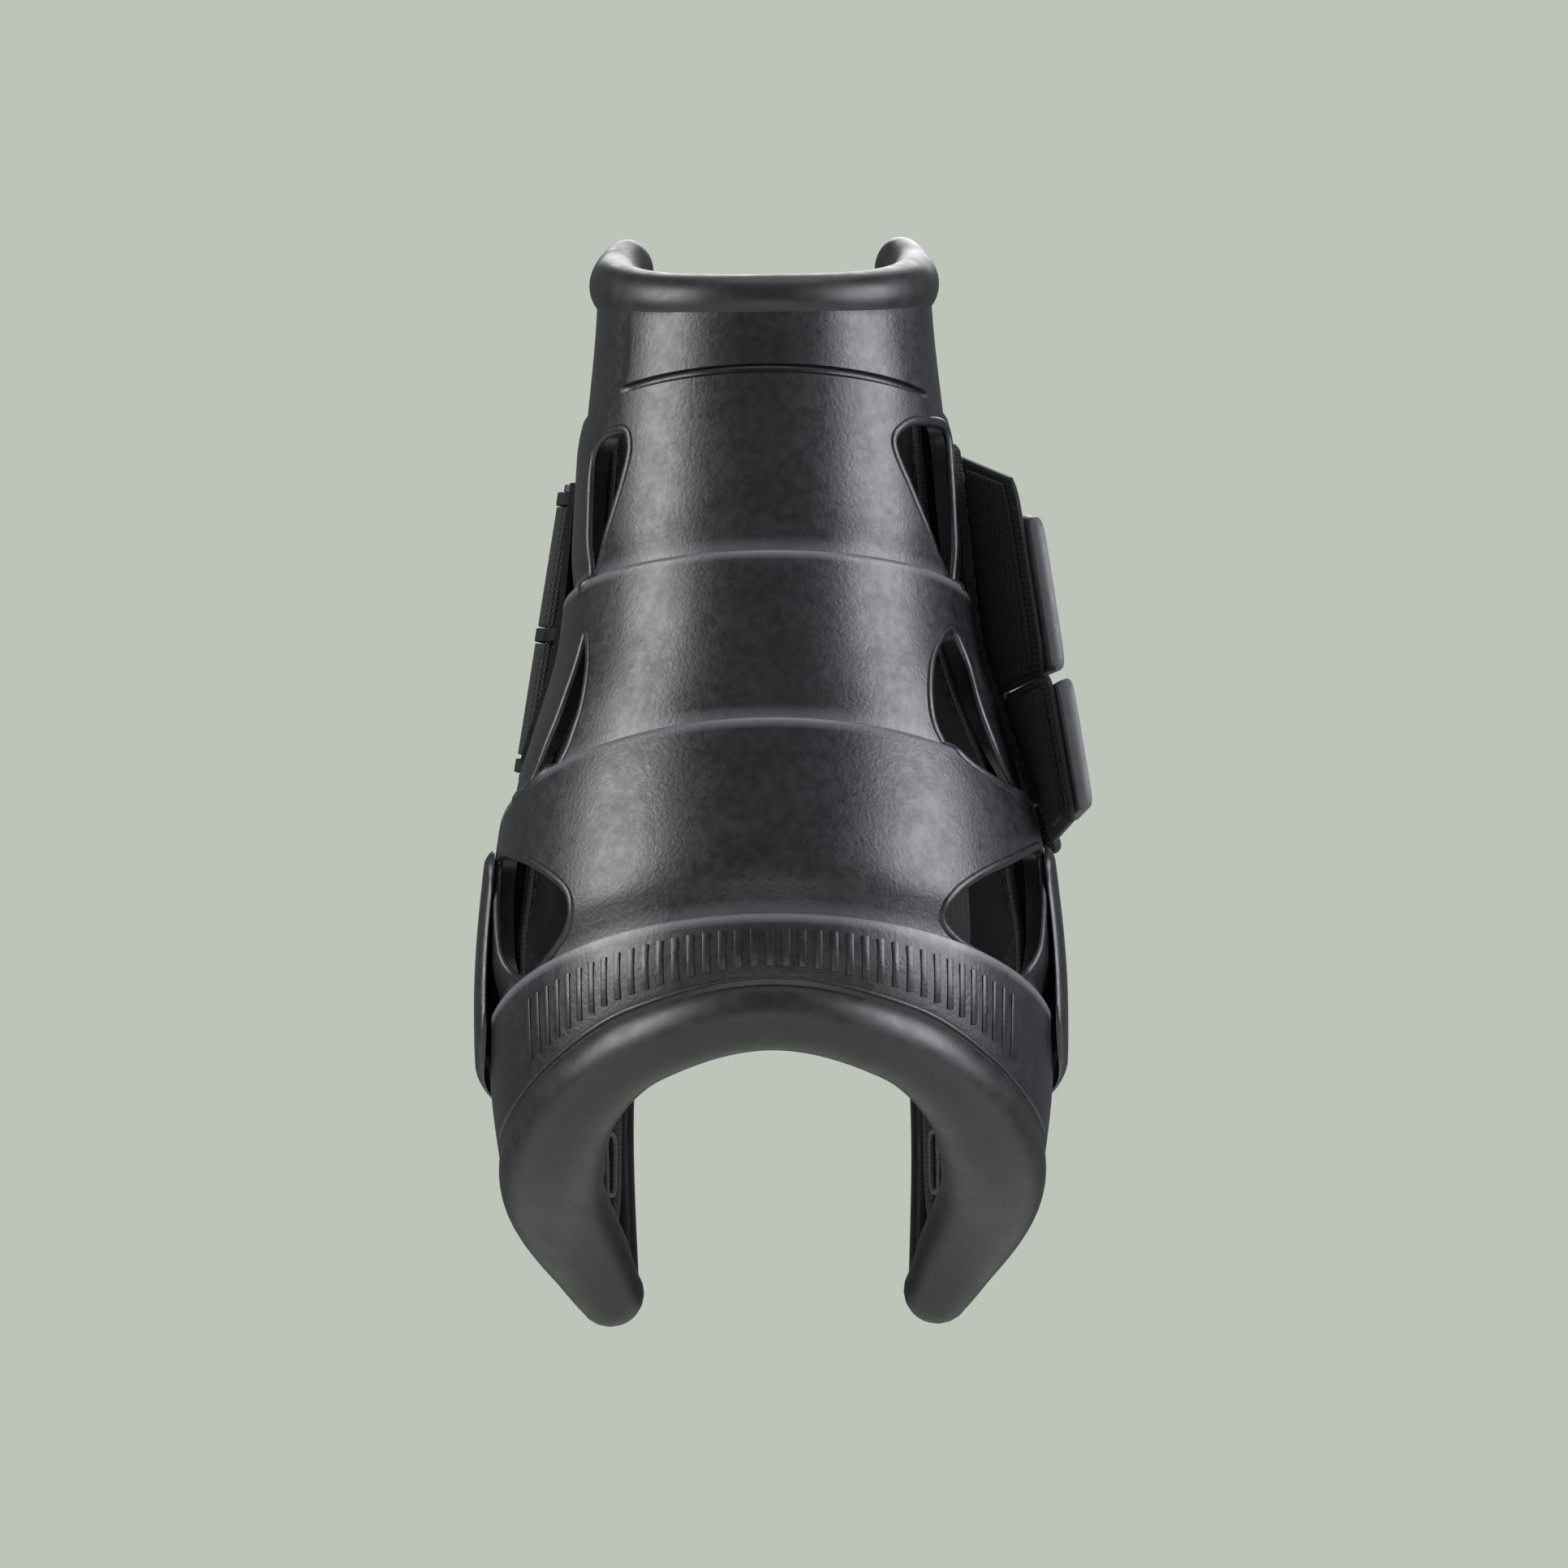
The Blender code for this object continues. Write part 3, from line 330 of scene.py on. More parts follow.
# Stitching: one stitch, the space between two, and the thread
STITCH_LENGTH = 0.0022
STITCH_PITCH = 0.0031
THREAD_RADIUS = 0.00028

# Where the seams lie on their sheets, in columns from -1 to 1 and rows from 0 to 1
SEAM_ACROSS = 0.93
SEAM_INSET = 0.03
CHANNEL_SEAM_ACROSS = 0.9
STRAP_CROSS_SEAMS = (0.90, 0.82, -0.86)
STRAP_CROSS_SEAM_ROWS = (0.08, 0.92)
STRAP_EDGE_SEAMS = (0.09, 0.91)
STRAP_EDGE_SEAM_COLUMNS = (-0.86, 0.90)
FLAP_SEAMS = (0.14, 0.42)
CROSS_STEPS = 20
EDGE_STEPS = 120
FLAP_STEPS = 30

# Patterns in the materials: clouding, mottling and paper, the speckle's size in grains, and the wave
# texture's scale that makes one band to the metre. The ranges are of two patterns' sum, and the spread
# is what the mottling takes from a moulded face's roughness or adds to it
CLOUD_SIZE = 0.012
PATCH_SIZE = 0.0045
PAPER_MOTTLE = 0.02
SPECKLE_GRAINS = 2.2
CLOUD_RANGE = (0.72, 1.28)
SHINE_RANGE = (0.75, 1.25)
ROUGHNESS_SPREAD = (-0.05, 0.07)
WAVE_SCALE = math.pi / 10

SMOOTH_ANGLE = math.radians(35)

# Stage, from the photograph: how many of its pixels make a millimetre, its size and the view's angle
PIXELS_ACROSS = 1932
PIXELS_PER_METRE = 7150
CAMERA_DISTANCE = 3.0
CAMERA_ELEVATION = math.radians(-9)
CAMERA_ROLL = math.radians(-0.55)
AIM = Vector((0.0026, 0, 0.0894))
SENSOR = 0.036
CAMERA_CLIP = (0.05, 30)
FLOOR_LEVEL = -0.42
FLOOR_SIZE = 8
FLOOR_PALENESS = 0.85
BACKDROP_HEX = "BEC4BA"
WORLD_TINT = (0.9, 0.95, 1.0, 1)
WORLD_STRENGTH = 0.15

# Lamps: name, place, width, height, power in watts and tint; all point at one place
LAMP_AIM = Vector((0, 0, 0.09))
LAMPS = (
    ("left_softbox", (-1.24, -0.45, 0.55), 0.80, 1.00, 19.0, (1.0, 1.0, 1.0)),
    ("right_softbox", (1.26, -0.40, 0.55), 0.95, 1.00, 23.0, (0.93, 0.93, 1.0)),
    ("top_softbox", (0.1, 0.0, 1.40), 0.80, 0.80, 3.0, (1.0, 1.0, 1.0)),
    ("front_softbox", (0.1, 1.15, 1.00), 0.80, 0.80, 9.0, (1.0, 1.0, 1.0)),
    ("low_softbox", (0.0, -1.25, -0.28), 1.10, 0.20, 1.6, (1.0, 1.0, 1.0)),
)


def mix(first, second, part):
    return first + (second - first) * part


def ease(part):
    """A smooth rise from 0 to 1."""
    part = min(max(part, 0), 1)
    return part * part * (3 - 2 * part)


def curve(here, after, leave, arrive, part):
    """A smooth step between two values, with the slopes at its start and its end."""
    return (
        here * (2 * part**3 - 3 * part**2 + 1)
        + leave * (part**3 - 2 * part**2 + part)
        + after * (3 * part**2 - 2 * part**3)
        + arrive * (part**3 - part**2)
    )


def follow(shares, at, column):
    """Smooth value of one column of a table of shares at a place in its first column."""
    places = [row[0] for row in shares]
    last = len(shares) - 1
    index = max(0, min(last - 1, bisect.bisect_right(places, at) - 1))
    here, after = shares[index], shares[index + 1]
    before, beyond = shares[max(index - 1, 0)], shares[min(index + 2, last)]
    width = after[0] - here[0]
    part = min(max((at - here[0]) / width, 0), 1)
    leave = (after[column] - before[column]) / (after[0] - before[0]) * width
    arrive = (beyond[column] - here[column]) / (beyond[0] - here[0]) * width
    return curve(here[column], after[column], leave, arrive, part)


def heights(shares):
    """The low and high end of a piece, worked out from its shares of the boot's height."""
    return tuple(BOOT_HEIGHT * share for share in shares)


@functools.lru_cache(maxsize=None)
def section(height):
    """Half width, back depth and front depth of the shell's outer face at a height."""
    level = height / BOOT_HEIGHT
    return (
        HALF_WIDTH * follow(SECTION_SHARES, level, 1),
        BACK_DEPTH * follow(SECTION_SHARES, level, 2),
        FRONT_DEPTH * follow(SECTION_SHARES, level, 3),
    )


def outward(angle, height):
    """The level direction that points out of the shell."""
    width, back, front = section(height)
    depth = back if math.cos(angle) > 0 else front
    return Vector((depth * math.sin(angle), -width * math.cos(angle), 0)).normalized()


def on_shell(angle, height, out=0.0):
    """The point of the shell's plain outer face at an angle and height, moved out by a distance."""
    width, back, front = section(height)
    depth = back if math.cos(angle) > 0 else front
    face = Vector((width * math.sin(angle), -depth * math.cos(angle), height))
    return face + outward(angle, height) * out


def edge_angle(height):
    """The angle at which a wing ends at the boot's open front."""
    half_mouth = HALF_WIDTH * follow(MOUTH_SHARES, height / BOOT_HEIGHT, 1)
    return math.pi - math.asin(half_mouth / section(height)[0])


@functools.lru_cache(maxsize=None)
def line_height(line_shares, angle):
    """Height of a design line that falls steadily from the middle of the back to the front."""
    back_share, fall_share = line_shares
    back_height = BOOT_HEIGHT * back_share
    forward = section(back_height)[1] + on_shell(angle, back_height).y
    return back_height - fall_share * forward


def rim_part(angle, column):
    return follow(RIM_SHARES, abs(angle) / RIM_END_ANGLE, column)


@functools.lru_cache(maxsize=None)
def rim_height(angle):
    return BOOT_HEIGHT * RIM_BACK_SHARE * rim_part(angle, 1)


def rim_radius(angle):
    return RIM_RADIUS * rim_part(angle, 2)


@functools.lru_cache(maxsize=None)
def rim_line(angle):
    """Height at which the shell meets the padded rim on its outer face."""
    radius = rim_radius(angle)
    proud = RIM_PROUD * rim_part(angle, 3)
    return rim_height(angle) + math.sqrt(radius**2 - (radius - proud) ** 2)


def cuff_part(angle, column):
    return follow(CUFF_SHARES, abs(angle) / CUFF_END_ANGLE, column)


@functools.lru_cache(maxsize=None)
def cuff_height(angle):
    return (BOOT_HEIGHT - CUFF_HALF_HEIGHT) * cuff_part(angle, 1)


def under_cuff(angle, drop):
    """Height of a point that lies a distance below the cuff."""
    return cuff_height(angle) - CUFF_HALF_HEIGHT * cuff_part(angle, 2) - drop


@functools.lru_cache(maxsize=None)
def plate_lines(angle):
    """Top, bottom and tuck of the three plates at an angle, from the upper one down."""
    groove = line_height(GROOVE_SHARES, angle)
    upper = line_height(UPPER_STEP_SHARES, angle)
    lower = line_height(LOWER_STEP_SHARES, angle)
    crease = line_height(CREASE_SHARES, angle)
    return (groove, upper, PLATE_TUCK), (upper, lower, PLATE_TUCK), (lower, crease, CREASE_TUCK)


def past_seam(angle):
    """0 on the collar's back panel, rising to 1 beyond the seam on either side of it."""
    left, right = SEAM_ANGLES
    beyond = angle - right if angle > 0 else left - angle
    return ease(beyond / SEAM_BLEND)


def relief(angle, height):
    """How far the moulded face stands out of, or lies in from, the plain one at a point."""
    plates = plate_lines(angle)
    groove = plates[0][0]
    seam = past_seam(angle)
    lowered = SEAM_STEP * seam * ease((height - groove + SEAM_REACH) / SEAM_REACH)
    away = abs(height - groove) / (GROOVE_WIDTH / 2)
    if away < 1:
        return -GROOVE_DEPTH * (1 - away**4) * (1 - seam) - lowered
    if height >= groove:
        return -lowered
    for top, bottom, tuck in plates:
        if bottom < height <= top:
            down = (top - height) / (top - bottom)
            out = follow(PLATE_SHARES, down, 1)
            out *= PLATE_LIP if out > 0 else tuck
            out -= lowered
            rounding = max(0, 1 - (top - height) / EDGE_ROUND) if top < groove else 0
            return out - EDGE_ROUND * (1 - math.sqrt(1 - rounding**2))
    return 0.0


# Colours and materials


def linear(hex_colour):
    """An sRGB hex colour as linear red, green, blue and alpha."""
    parts = [int(hex_colour[index : index + 2], 16) / 255 for index in (0, 2, 4)]
    return (*[part / 12.92 if part <= 0.04045 else ((part + 0.055) / 1.055) ** 2.4 for part in parts], 1)


def add(tree, kind, links=None, inputs=None, **settings):
    """Adds one node with its settings, its input values and its links."""
    made = tree.nodes.new(kind)
    for name, value in settings.items():
        setattr(made, name, value)
    for name, value in (inputs or {}).items():
        made.inputs[name].default_value = value
    for name, source in (links or {}).items():
        tree.links.new(source, made.inputs[name])
    return made


def new_material(name, roughness, metallic=0.0, ior=1.5, sheen=(0.0, 0.5)):
    """A Principled material and its node tree and shader; sheen is its weight and its roughness."""
    made = bpy.data.materials.new(name)
    made.use_nodes = True
    shader = made.node_tree.nodes["Principled BSDF"]
    shader.inputs["Roughness"].default_value = roughness
    shader.inputs["Metallic"].default_value = metallic
    shader.inputs["IOR"].default_value = ior
    shader.inputs["Sheen Weight"].default_value, shader.inputs["Sheen Roughness"].default_value = sheen
    return made, made.node_tree, shader


def finish(tree, shader, share, colours, relief, depth, strength=1.0):
    """Colours a surface from dark to light by a share, and raises it by a relief of a depth."""
    dark, light = colours
    colour = add(
        tree, "ShaderNodeMix", {0: share}, {6: linear(dark), 7: linear(light)}, data_type="RGBA"
    ).outputs[2]
    tree.links.new(colour, shader.inputs["Base Color"])
    bump = add(tree, "ShaderNodeBump", {"Height": relief}, {"Strength": strength, "Distance": depth})
    tree.links.new(bump.outputs[0], shader.inputs["Normal"])
    return colour


def moulded(name, colours, roughness, grain, depth, painted_edge_highlight=None, ior=1.58):
    """Moulded rubbery plastic: a fine even grain that breaks up its highlights, with faint clouding."""
    made, tree, shader = new_material(name, roughness, ior=ior)
    place = add(tree, "ShaderNodeTexCoord").outputs["Object"]
    scales = ((CLOUD_SIZE, 3.0), (grain * SPECKLE_GRAINS, 2.0), (PATCH_SIZE, 4.0), (grain, 2.0))
    clouds, speckle, patches, fine = (
        add(
            tree, "ShaderNodeTexNoise", {"Vector": place}, {"Scale": 1 / size, "Detail": detail}
        ).outputs["Fac"]
        for size, detail in scales
    )
    both = add(tree, "ShaderNodeMath", {0: clouds, 1: speckle}, operation="ADD").outputs[0]
    low, high = CLOUD_RANGE
    share = add(tree, "ShaderNodeMapRange", {"Value": both}, {"From Min": low, "From Max": high})
    colour = finish(tree, shader, share.outputs[0], colours, fine, depth)
    # Painted highlight: where the attribute marks a lip, a paler colour stands in for the light that the
    # rounded edge catches
    if painted_edge_highlight:
        painted_lip_highlight = add(tree, "ShaderNodeAttribute", attribute_name="painted_lip_highlight")
        highlighted_colour = add(
            tree, "ShaderNodeMix", {0: painted_lip_highlight.outputs["Fac"], 6: colour}, {7: linear(painted_edge_highlight)},
            data_type="RGBA",
        )
        tree.links.new(highlighted_colour.outputs[2], shader.inputs["Base Color"])
    mottled = add(tree, "ShaderNodeMath", {0: speckle, 1: patches}, operation="ADD").outputs[0]
    (low, high), (smoother, rougher) = SHINE_RANGE, ROUGHNESS_SPREAD
    shine = add(tree, "ShaderNodeMapRange", {"Value": mottled}, {
        "From Min": low, "From Max": high, "To Min": roughness + smoother, "To Max": roughness + rougher,
    })
    tree.links.new(shine.outputs[0], shader.inputs["Roughness"])
    return made


def woven(name, colours, roughness, warp, weft, depth, sheen=0.15):
    """Woven webbing: ribs along the tape, crossed by weft threads, read from the piece's own map."""
    made, tree, shader = new_material(name, roughness, sheen=(sheen, 0.4))
    place = add(tree, "ShaderNodeUVMap", uv_map="surface").outputs[0]
    across, along = (
        add(
            tree, "ShaderNodeTexWave", {"Vector": place}, {"Scale": WAVE_SCALE / spacing, "Distortion": bend},
            wave_type="BANDS", bands_direction=direction, wave_profile="SIN",
        ).outputs["Fac"]
        for spacing, bend, direction in ((warp, 0.3, "Y"), (weft, 0.5, "X"))
    )
    threads = add(tree, "ShaderNodeMath", {0: across, 1: along}, operation="MULTIPLY").outputs[0]
    share = add(tree, "ShaderNodeMapRange", {"Value": threads}, {"From Min": 0.0, "From Max": 0.8})
    finish(tree, shader, share.outputs[0], colours, threads, depth)
    return made


def piled(name, colours, roughness, pitch, depth, sheen):
    """Hook or loop pile: a dense stubble that drinks the light, with a soft sheen at grazing angles."""
    made, tree, shader = new_material(name, roughness, sheen=(sheen, 0.5))
    place = add(tree, "ShaderNodeTexCoord").outputs["Object"]
    tufts = add(tree, "ShaderNodeTexVoronoi", {"Vector": place}, {"Scale": 1 / pitch, "Randomness": 0.6})
    raised = add(
        tree, "ShaderNodeMath", {1: tufts.outputs["Distance"]}, {0: 1.0}, operation="SUBTRACT"
    ).outputs[0]
    share = add(tree, "ShaderNodeMapRange", {"Value": raised}, {"From Min": 0.3, "From Max": 1.0})
    finish(tree, shader, share.outputs[0], colours, raised, depth)
    return made


def drawn_wire(name, colours, roughness, mark, depth):
    """Drawn steel wire with a dark finish and faint marks on it."""
    made, tree, shader = new_material(name, roughness, metallic=1.0)
    place = add(tree, "ShaderNodeTexCoord").outputs["Object"]
    marks = add(tree, "ShaderNodeTexNoise", {"Vector": place}, {"Scale": 1 / mark, "Detail": 2.0})
    finish(tree, shader, marks.outputs["Fac"], colours, marks.outputs["Fac"], depth, 0.6)
    return made


# Shaping helpers


def seal(name, made, look, body):
    """Turns a bmesh into a smooth piece that rides on a body."""
    mesh = bpy.data.meshes.new(name)
    made.to_mesh(mesh)
    made.free()
    smooth(mesh)
    mesh.materials.append(look)
    piece = bpy.data.objects.new(name, mesh)
    bpy.context.scene.collection.objects.link(piece)
    if body:
        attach(piece, body)
    return piece


def smooth(mesh):
    mesh.shade_smooth()
    mesh.set_sharp_from_angle(angle=SMOOTH_ANGLE)


def length_of(points):
    return sum((after - before).length for before, after in zip(points, points[1:]))


def bulge(place, power):
    """1 in the middle and 0 at -1 and 1; the higher the power, the flatter between."""
    return math.sqrt(max(0, 1 - abs(place) ** power))


def drawn_in(row, share):
    """How far a piece's ends reach at a row, when its corners are drawn in by a share."""
    return 1 - (2 * row - 1) ** 8 * share


def away_from_leg(point):
    return Vector((point.x, point.y, 0)).normalized()


def towards_leg(point):
    return -away_from_leg(point)


def laid_along(across, out, along, centre):
    """The transform that lays a shape's own axes along three directions at a place."""
    made = Matrix.Identity(4)
    for column, part in enumerate((across, out, along, centre)):
        made.col[column].xyz = part
    return made


def turn_outwards(made):
    """Points a closed shape's faces outwards, which the operator alone can miss on a thin one."""
    bmesh.ops.recalc_face_normals(made, faces=made.faces)
    if made.calc_volume(signed=True) < 0:
        bmesh.ops.reverse_faces(made, faces=made.faces)


def doubled(made, faces):
    """Doubles level faces one metre up and walls them in; gives the vertices of the second layer."""
    verts = dict.fromkeys(vert for face in faces for vert in face.verts)
    edges = dict.fromkeys(edge for face in faces for edge in face.edges)
    border = [edge for edge in edges if edge.is_boundary]
    copied = bmesh.ops.duplicate(made, geom=[*verts, *edges, *faces])
    second = [copied["vert_map"][vert] for vert in verts]
    bmesh.ops.translate(made, verts=second, vec=(0, 0, 1))
    bmesh.ops.bridge_loops(made, edges=border + [copied["edge_map"][edge] for edge in border])
    return set(second)


def sheet(columns, rows, face, outer, inner, painted_lip_highlight=None):
    """A grid laid on an outer face, doubled on an inner face and closed round its border.

    face gives the place at a column, from -1 to 1, and a row, from 0 to 1, on the face that its third
    value names: outer or inner. The map called surface runs in metres along the middle row and column.
    """
    made = bmesh.new()
    surface = made.loops.layers.uv.new("surface")
    lip_highlight_layer = made.verts.layers.float.new("painted_lip_highlight")
    bmesh.ops.create_grid(made, x_segments=columns, y_segments=rows, size=1)
    twins = doubled(made, made.faces[:])
    wide = length_of([face(2 * step / columns - 1, 0.5, outer) for step in range(columns + 1)])
    tall = length_of([face(0.0, step / rows, outer) for step in range(rows + 1)])
    spots = {}
    for vert in made.verts:
        column, row = vert.co.x, (vert.co.y + 1) / 2
        spots[vert] = ((column + 1) / 2 * wide, row * tall)
        if vert in twins:
            vert.co = face(column, row, inner)
            continue
        vert.co = face(column, row, outer)
        # Share of the painted lip highlight at this point of the outer face
        vert[lip_highlight_layer] = painted_lip_highlight(column, row) if painted_lip_highlight else 0.0
    for polygon in made.faces:
        for loop in polygon.loops:
            loop[surface].uv = spots[loop.vert]
    turn_outwards(made)
    return made


def tube(rings, sides, closed=False):
    """A loft of oval rings, each given by its centre and two half axes.

    Its circles are bridged while they lie in a straight stack, so that none turns against the next.
    """
    made = bmesh.new()
    surface = made.loops.layers.uv.new("surface")
    for number in range(len(rings)):
        bmesh.ops.create_circle(made, segments=sides, radius=1, matrix=Matrix.Translation((0, 0, number)))
    verts, edges = made.verts[:], made.edges[:]
    turns = {vert: number % sides for number, vert in enumerate(verts)}
    middle = rings[len(rings) // 2]
    girth = math.pi * (middle[1].length + middle[2].length)
    travelled = 0.0
    for number in range(len(rings) if closed else len(rings) - 1):
        after = (number + 1) % len(rings)
        pair = [edge for ring in (number, after) for edge in edges[ring * sides : (ring + 1) * sides]]
        near = set(verts[number * sides : (number + 1) * sides])
        step = (rings[after][0] - rings[number][0]).length
        for face in bmesh.ops.bridge_loops(made, edges=pair)["faces"]:
            spread = [turns[vert] for vert in face.verts]
            at_seam = max(spread) - min(spread) > 1
            for loop in face.loops:
                turn = turns[loop.vert] or at_seam * sides
                loop[surface].uv = (travelled + (0 if loop.vert in near else step), turn / sides * girth)
        travelled += step
    bmesh.ops.holes_fill(made, edges=[edge for edge in made.edges if edge.is_boundary], sides=0)
    for number, (centre, across, along) in enumerate(rings):
        lie = laid_along(across, along, across.cross(along).normalized(), centre)
        for vert in verts[number * sides : (number + 1) * sides]:
            vert.co = lie @ Vector((vert.co.x, vert.co.y, 0))
    turn_outwards(made)
    return made


def rounded_path(path):
    """Rings along a path of (centre, outward direction, thickness, height), with round ends."""
    last = len(path) - 1
    stations = []
    for index, (centre, out, thick, high) in enumerate(path):
        travel = (path[min(index + 1, last)][0] - path[max(index - 1, 0)][0]).normalized()
        across = (out - travel * out.dot(travel)).normalized()
        stations.append((centre, travel * thick, across * thick, travel.cross(across).normalized() * high))
    rings = [(centre, across, along) for centre, reach, across, along in stations]
    for end, sign in ((0, -1), (-1, 1)):
        centre, reach, across, along = stations[end]
        caps = [
            (centre + reach * math.sin(turn) * sign, across * math.cos(turn), along * math.cos(turn))
            for turn in CAP_TURNS
        ]
        rings = caps[::-1] + rings if sign < 0 else rings + caps
    return rings


def loop_path(points, outs, thick, high):
    """Rings round a closed line of points, each with its outward direction."""
    rings = []
    for index, (point, out) in enumerate(zip(points, outs)):
        travel = (points[(index + 1) % len(points)] - points[index - 1]).normalized()
        across = (out - travel * out.dot(travel)).normalized()
        rings.append((point, across * thick, travel.cross(across).normalized() * high))
    return rings


def roll(name, place, mesh_size, look):
    """A round-ended roll on the shell; place gives each of its places, from -1 to 1, as a path's."""
    count, sides = mesh_size
    path = [place(2 * step / count - 1) for step in range(count + 1)]
    return seal(name, tube(rounded_path(path), sides), look, "shell")


def border(count, across=1.0, inset=0.0):
    """Columns and rows round a sheet's border, drawn in by its reach across and its inset."""
    steps = [step / count for step in range(count)]
    places = [(2 * step - 1, 0.0) for step in steps] + [(1.0, step) for step in steps]
    places += [(1 - 2 * step, 1.0) for step in steps] + [(-1.0, 1 - step) for step in steps]
    return [(column * across, mix(inset, 1 - inset, row)) for column, row in places]


def spaced(line, pitch):
    """Points at an even pitch along a line, each with the direction of travel."""
    found, left = [], pitch / 2
    for before, after in zip(line, line[1:]):
        run = (after - before).length
        if run == 0:
            continue
        travel = (after - before) / run
        while left <= run:
            found.append((before + travel * left, travel))
            left += pitch
        left -= run
    return found


def stitches(lines, out):
    """Short rounded stitches along lines, pressed a little into what they hold."""
    made = bmesh.new()
    made.loops.layers.uv.new("surface")
    size = Matrix.Diagonal((THREAD_RADIUS, THREAD_RADIUS, STITCH_LENGTH / 2, 1))
    for line in lines:
        for point, travel in spaced(line, STITCH_PITCH):
            side = out(point).cross(travel).normalized()
            lie = laid_along(side, travel.cross(side).normalized(), travel, point)
            bmesh.ops.create_uvsphere(made, u_segments=6, v_segments=6, radius=1, matrix=lie @ size)
    return made


# Pieces of the shell


def smooth_outline(shares):
    """A closed smooth curve through an outline's points, as angle and height."""
    count = len(shares)
    outline = []
    for index in range(count):
        before, here = shares[index - 1], shares[index]
        after, beyond = shares[(index + 1) % count], shares[(index + 2) % count]
        for step in range(VENT_STEPS):
            across, up = (
                curve(here[axis], after[axis], (after[axis] - before[axis]) / 2,
                      (beyond[axis] - here[axis]) / 2, step / VENT_STEPS)
                for axis in range(2)
            )
            outline.append((across * math.pi / 2, up * BOOT_HEIGHT))
    return outline


def vents():
    """Each vent's name and its outline in angle and height, on its own side of the shell."""
    for name, shares in VENT_SHARES.items():
        side = -1 if name.endswith("left") else 1
        yield name, [(side * angle, height) for angle, height in smooth_outline(shares)]


def shell_rows(angle):
    """Heights of the shell's rows at an angle, from the cuff down, close together at each edge."""
    plates = plate_lines(angle)
    groove, crease, rim = plates[0][0], plates[-1][1], rim_line(angle)
    rows = [mix(cuff_height(angle), groove + GROOVE_WIDTH, step / PLAIN_ROWS) for step in range(PLAIN_ROWS)]
    rows += [groove + GROOVE_WIDTH / 2 * part for part in GROOVE_ROWS]
    for number, (high, low, _) in enumerate(plates):
        if number:
            rows += [high - EDGE_ROUND * part for part in LIP_ROWS]
        start = PLATE_START_SHARES[min(number, 1)]
        parts = [mix(start, PLATE_END_SHARE, step / PLATE_ROWS) for step in range(PLATE_ROWS + 1)]
        rows += [mix(high, low, part) for part in parts]
        rows.append(low + EDGE_ROUND * LAST_ROW)
    rows += [crease - EDGE_ROUND * part for part in CREASE_ROWS]
    rows += [mix(crease - EDGE_ROUND * 2, rim, step / PLAIN_ROWS) for step in range(PLAIN_ROWS + 1)]
    rows += [mix(rim, rim_height(angle), step / 2) for step in (1, 2)]
    return rows


def moulded_shell(look):
    """The moulded shell with its groove, stepped plates, bottom band and vents."""
    last = len(shell_rows(0.0)) - 1

    @functools.lru_cache(maxsize=None)
    def place(column, row):
        number = round((1 - row) * last)
        angle = column * edge_angle(BOOT_HEIGHT * CREASE_SHARES[0])
        for _ in range(SETTLING_ROUNDS):
            angle = column * edge_angle(shell_rows(angle)[number])
        return angle, shell_rows(angle)[number]

    def face(column, row, outside):
        angle, height = place(column, row)
        if not outside:
            return on_shell(angle, height, -WALL)
        out = relief(angle, height)
        if height < rim_line(angle):
            out = -RIM_INSET * (rim_line(angle) - height) / (rim_line(angle) - rim_height(angle))
        if row == 1:
            out = -CUFF_INSET
        return on_shell(angle, height, out)

    def painted_lip_highlight(column, row):
        """How much painted highlight an edge gets: full on the top lip of a plate and of the band."""
        angle, height = place(column, row)
        lips = [bottom - EDGE_ROUND / 2 for _, bottom, _ in plate_lines(angle)]
        return max(0.0, *(1 - abs(lip - height) / LIP_HIGHLIGHT_REACH for lip in lips))

    made = sheet(SHELL_COLUMNS, last, face, True, False, painted_lip_highlight)
    shell = seal("moulded_shell", made, look, None)
    plugs = bmesh.new()
    for _, outline in vents():
        near = [plugs.verts.new((angle, height, 0)) for angle, height in outline]
        far = doubled(plugs, [plugs.faces.new(near)])
        for vert in (*near, *far):
            vert.co = on_shell(vert.co.x, vert.co.y, -CUTTER_DEPTH if vert in far else CUTTER_REACH)
    bmesh.ops.recalc_face_normals(plugs, faces=plugs.faces)
    cutter = seal("vent_plugs", plugs, look, None)
    cut = shell.modifiers.new("vents", "BOOLEAN")
    cut.operation = "DIFFERENCE"
    cut.solver = "EXACT"
    cut.object = cutter
    bpy.context.view_layer.update()
    evaluated = shell.evaluated_get(bpy.context.evaluated_depsgraph_get())
    mesh = bpy.data.meshes.new_from_object(evaluated)
    shell.modifiers.clear()
    shell.data = mesh
    smooth(mesh)
    bpy.data.objects.remove(cutter, do_unlink=True)
    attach(shell, "shell")
    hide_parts("outer_shell")


def vent_lips(look):
    """The rolled lip round each vent, which catches the light along the opening."""
    for name, outline in vents():
        sunk = VENT_LIP_RADIUS * VENT_LIP_SINK_SHARE
        points = [on_shell(angle, height, relief(angle, height) - sunk) for angle, height in outline]
        outs = [outward(angle, height) for angle, height in outline]
        rings = loop_path(points, outs, VENT_LIP_RADIUS, VENT_LIP_RADIUS * VENT_LIP_HEIGHT_SHARE)
        seal(f"vent_lip_{name}", tube(rings, FINE_SIDES, closed=True), look, "shell")


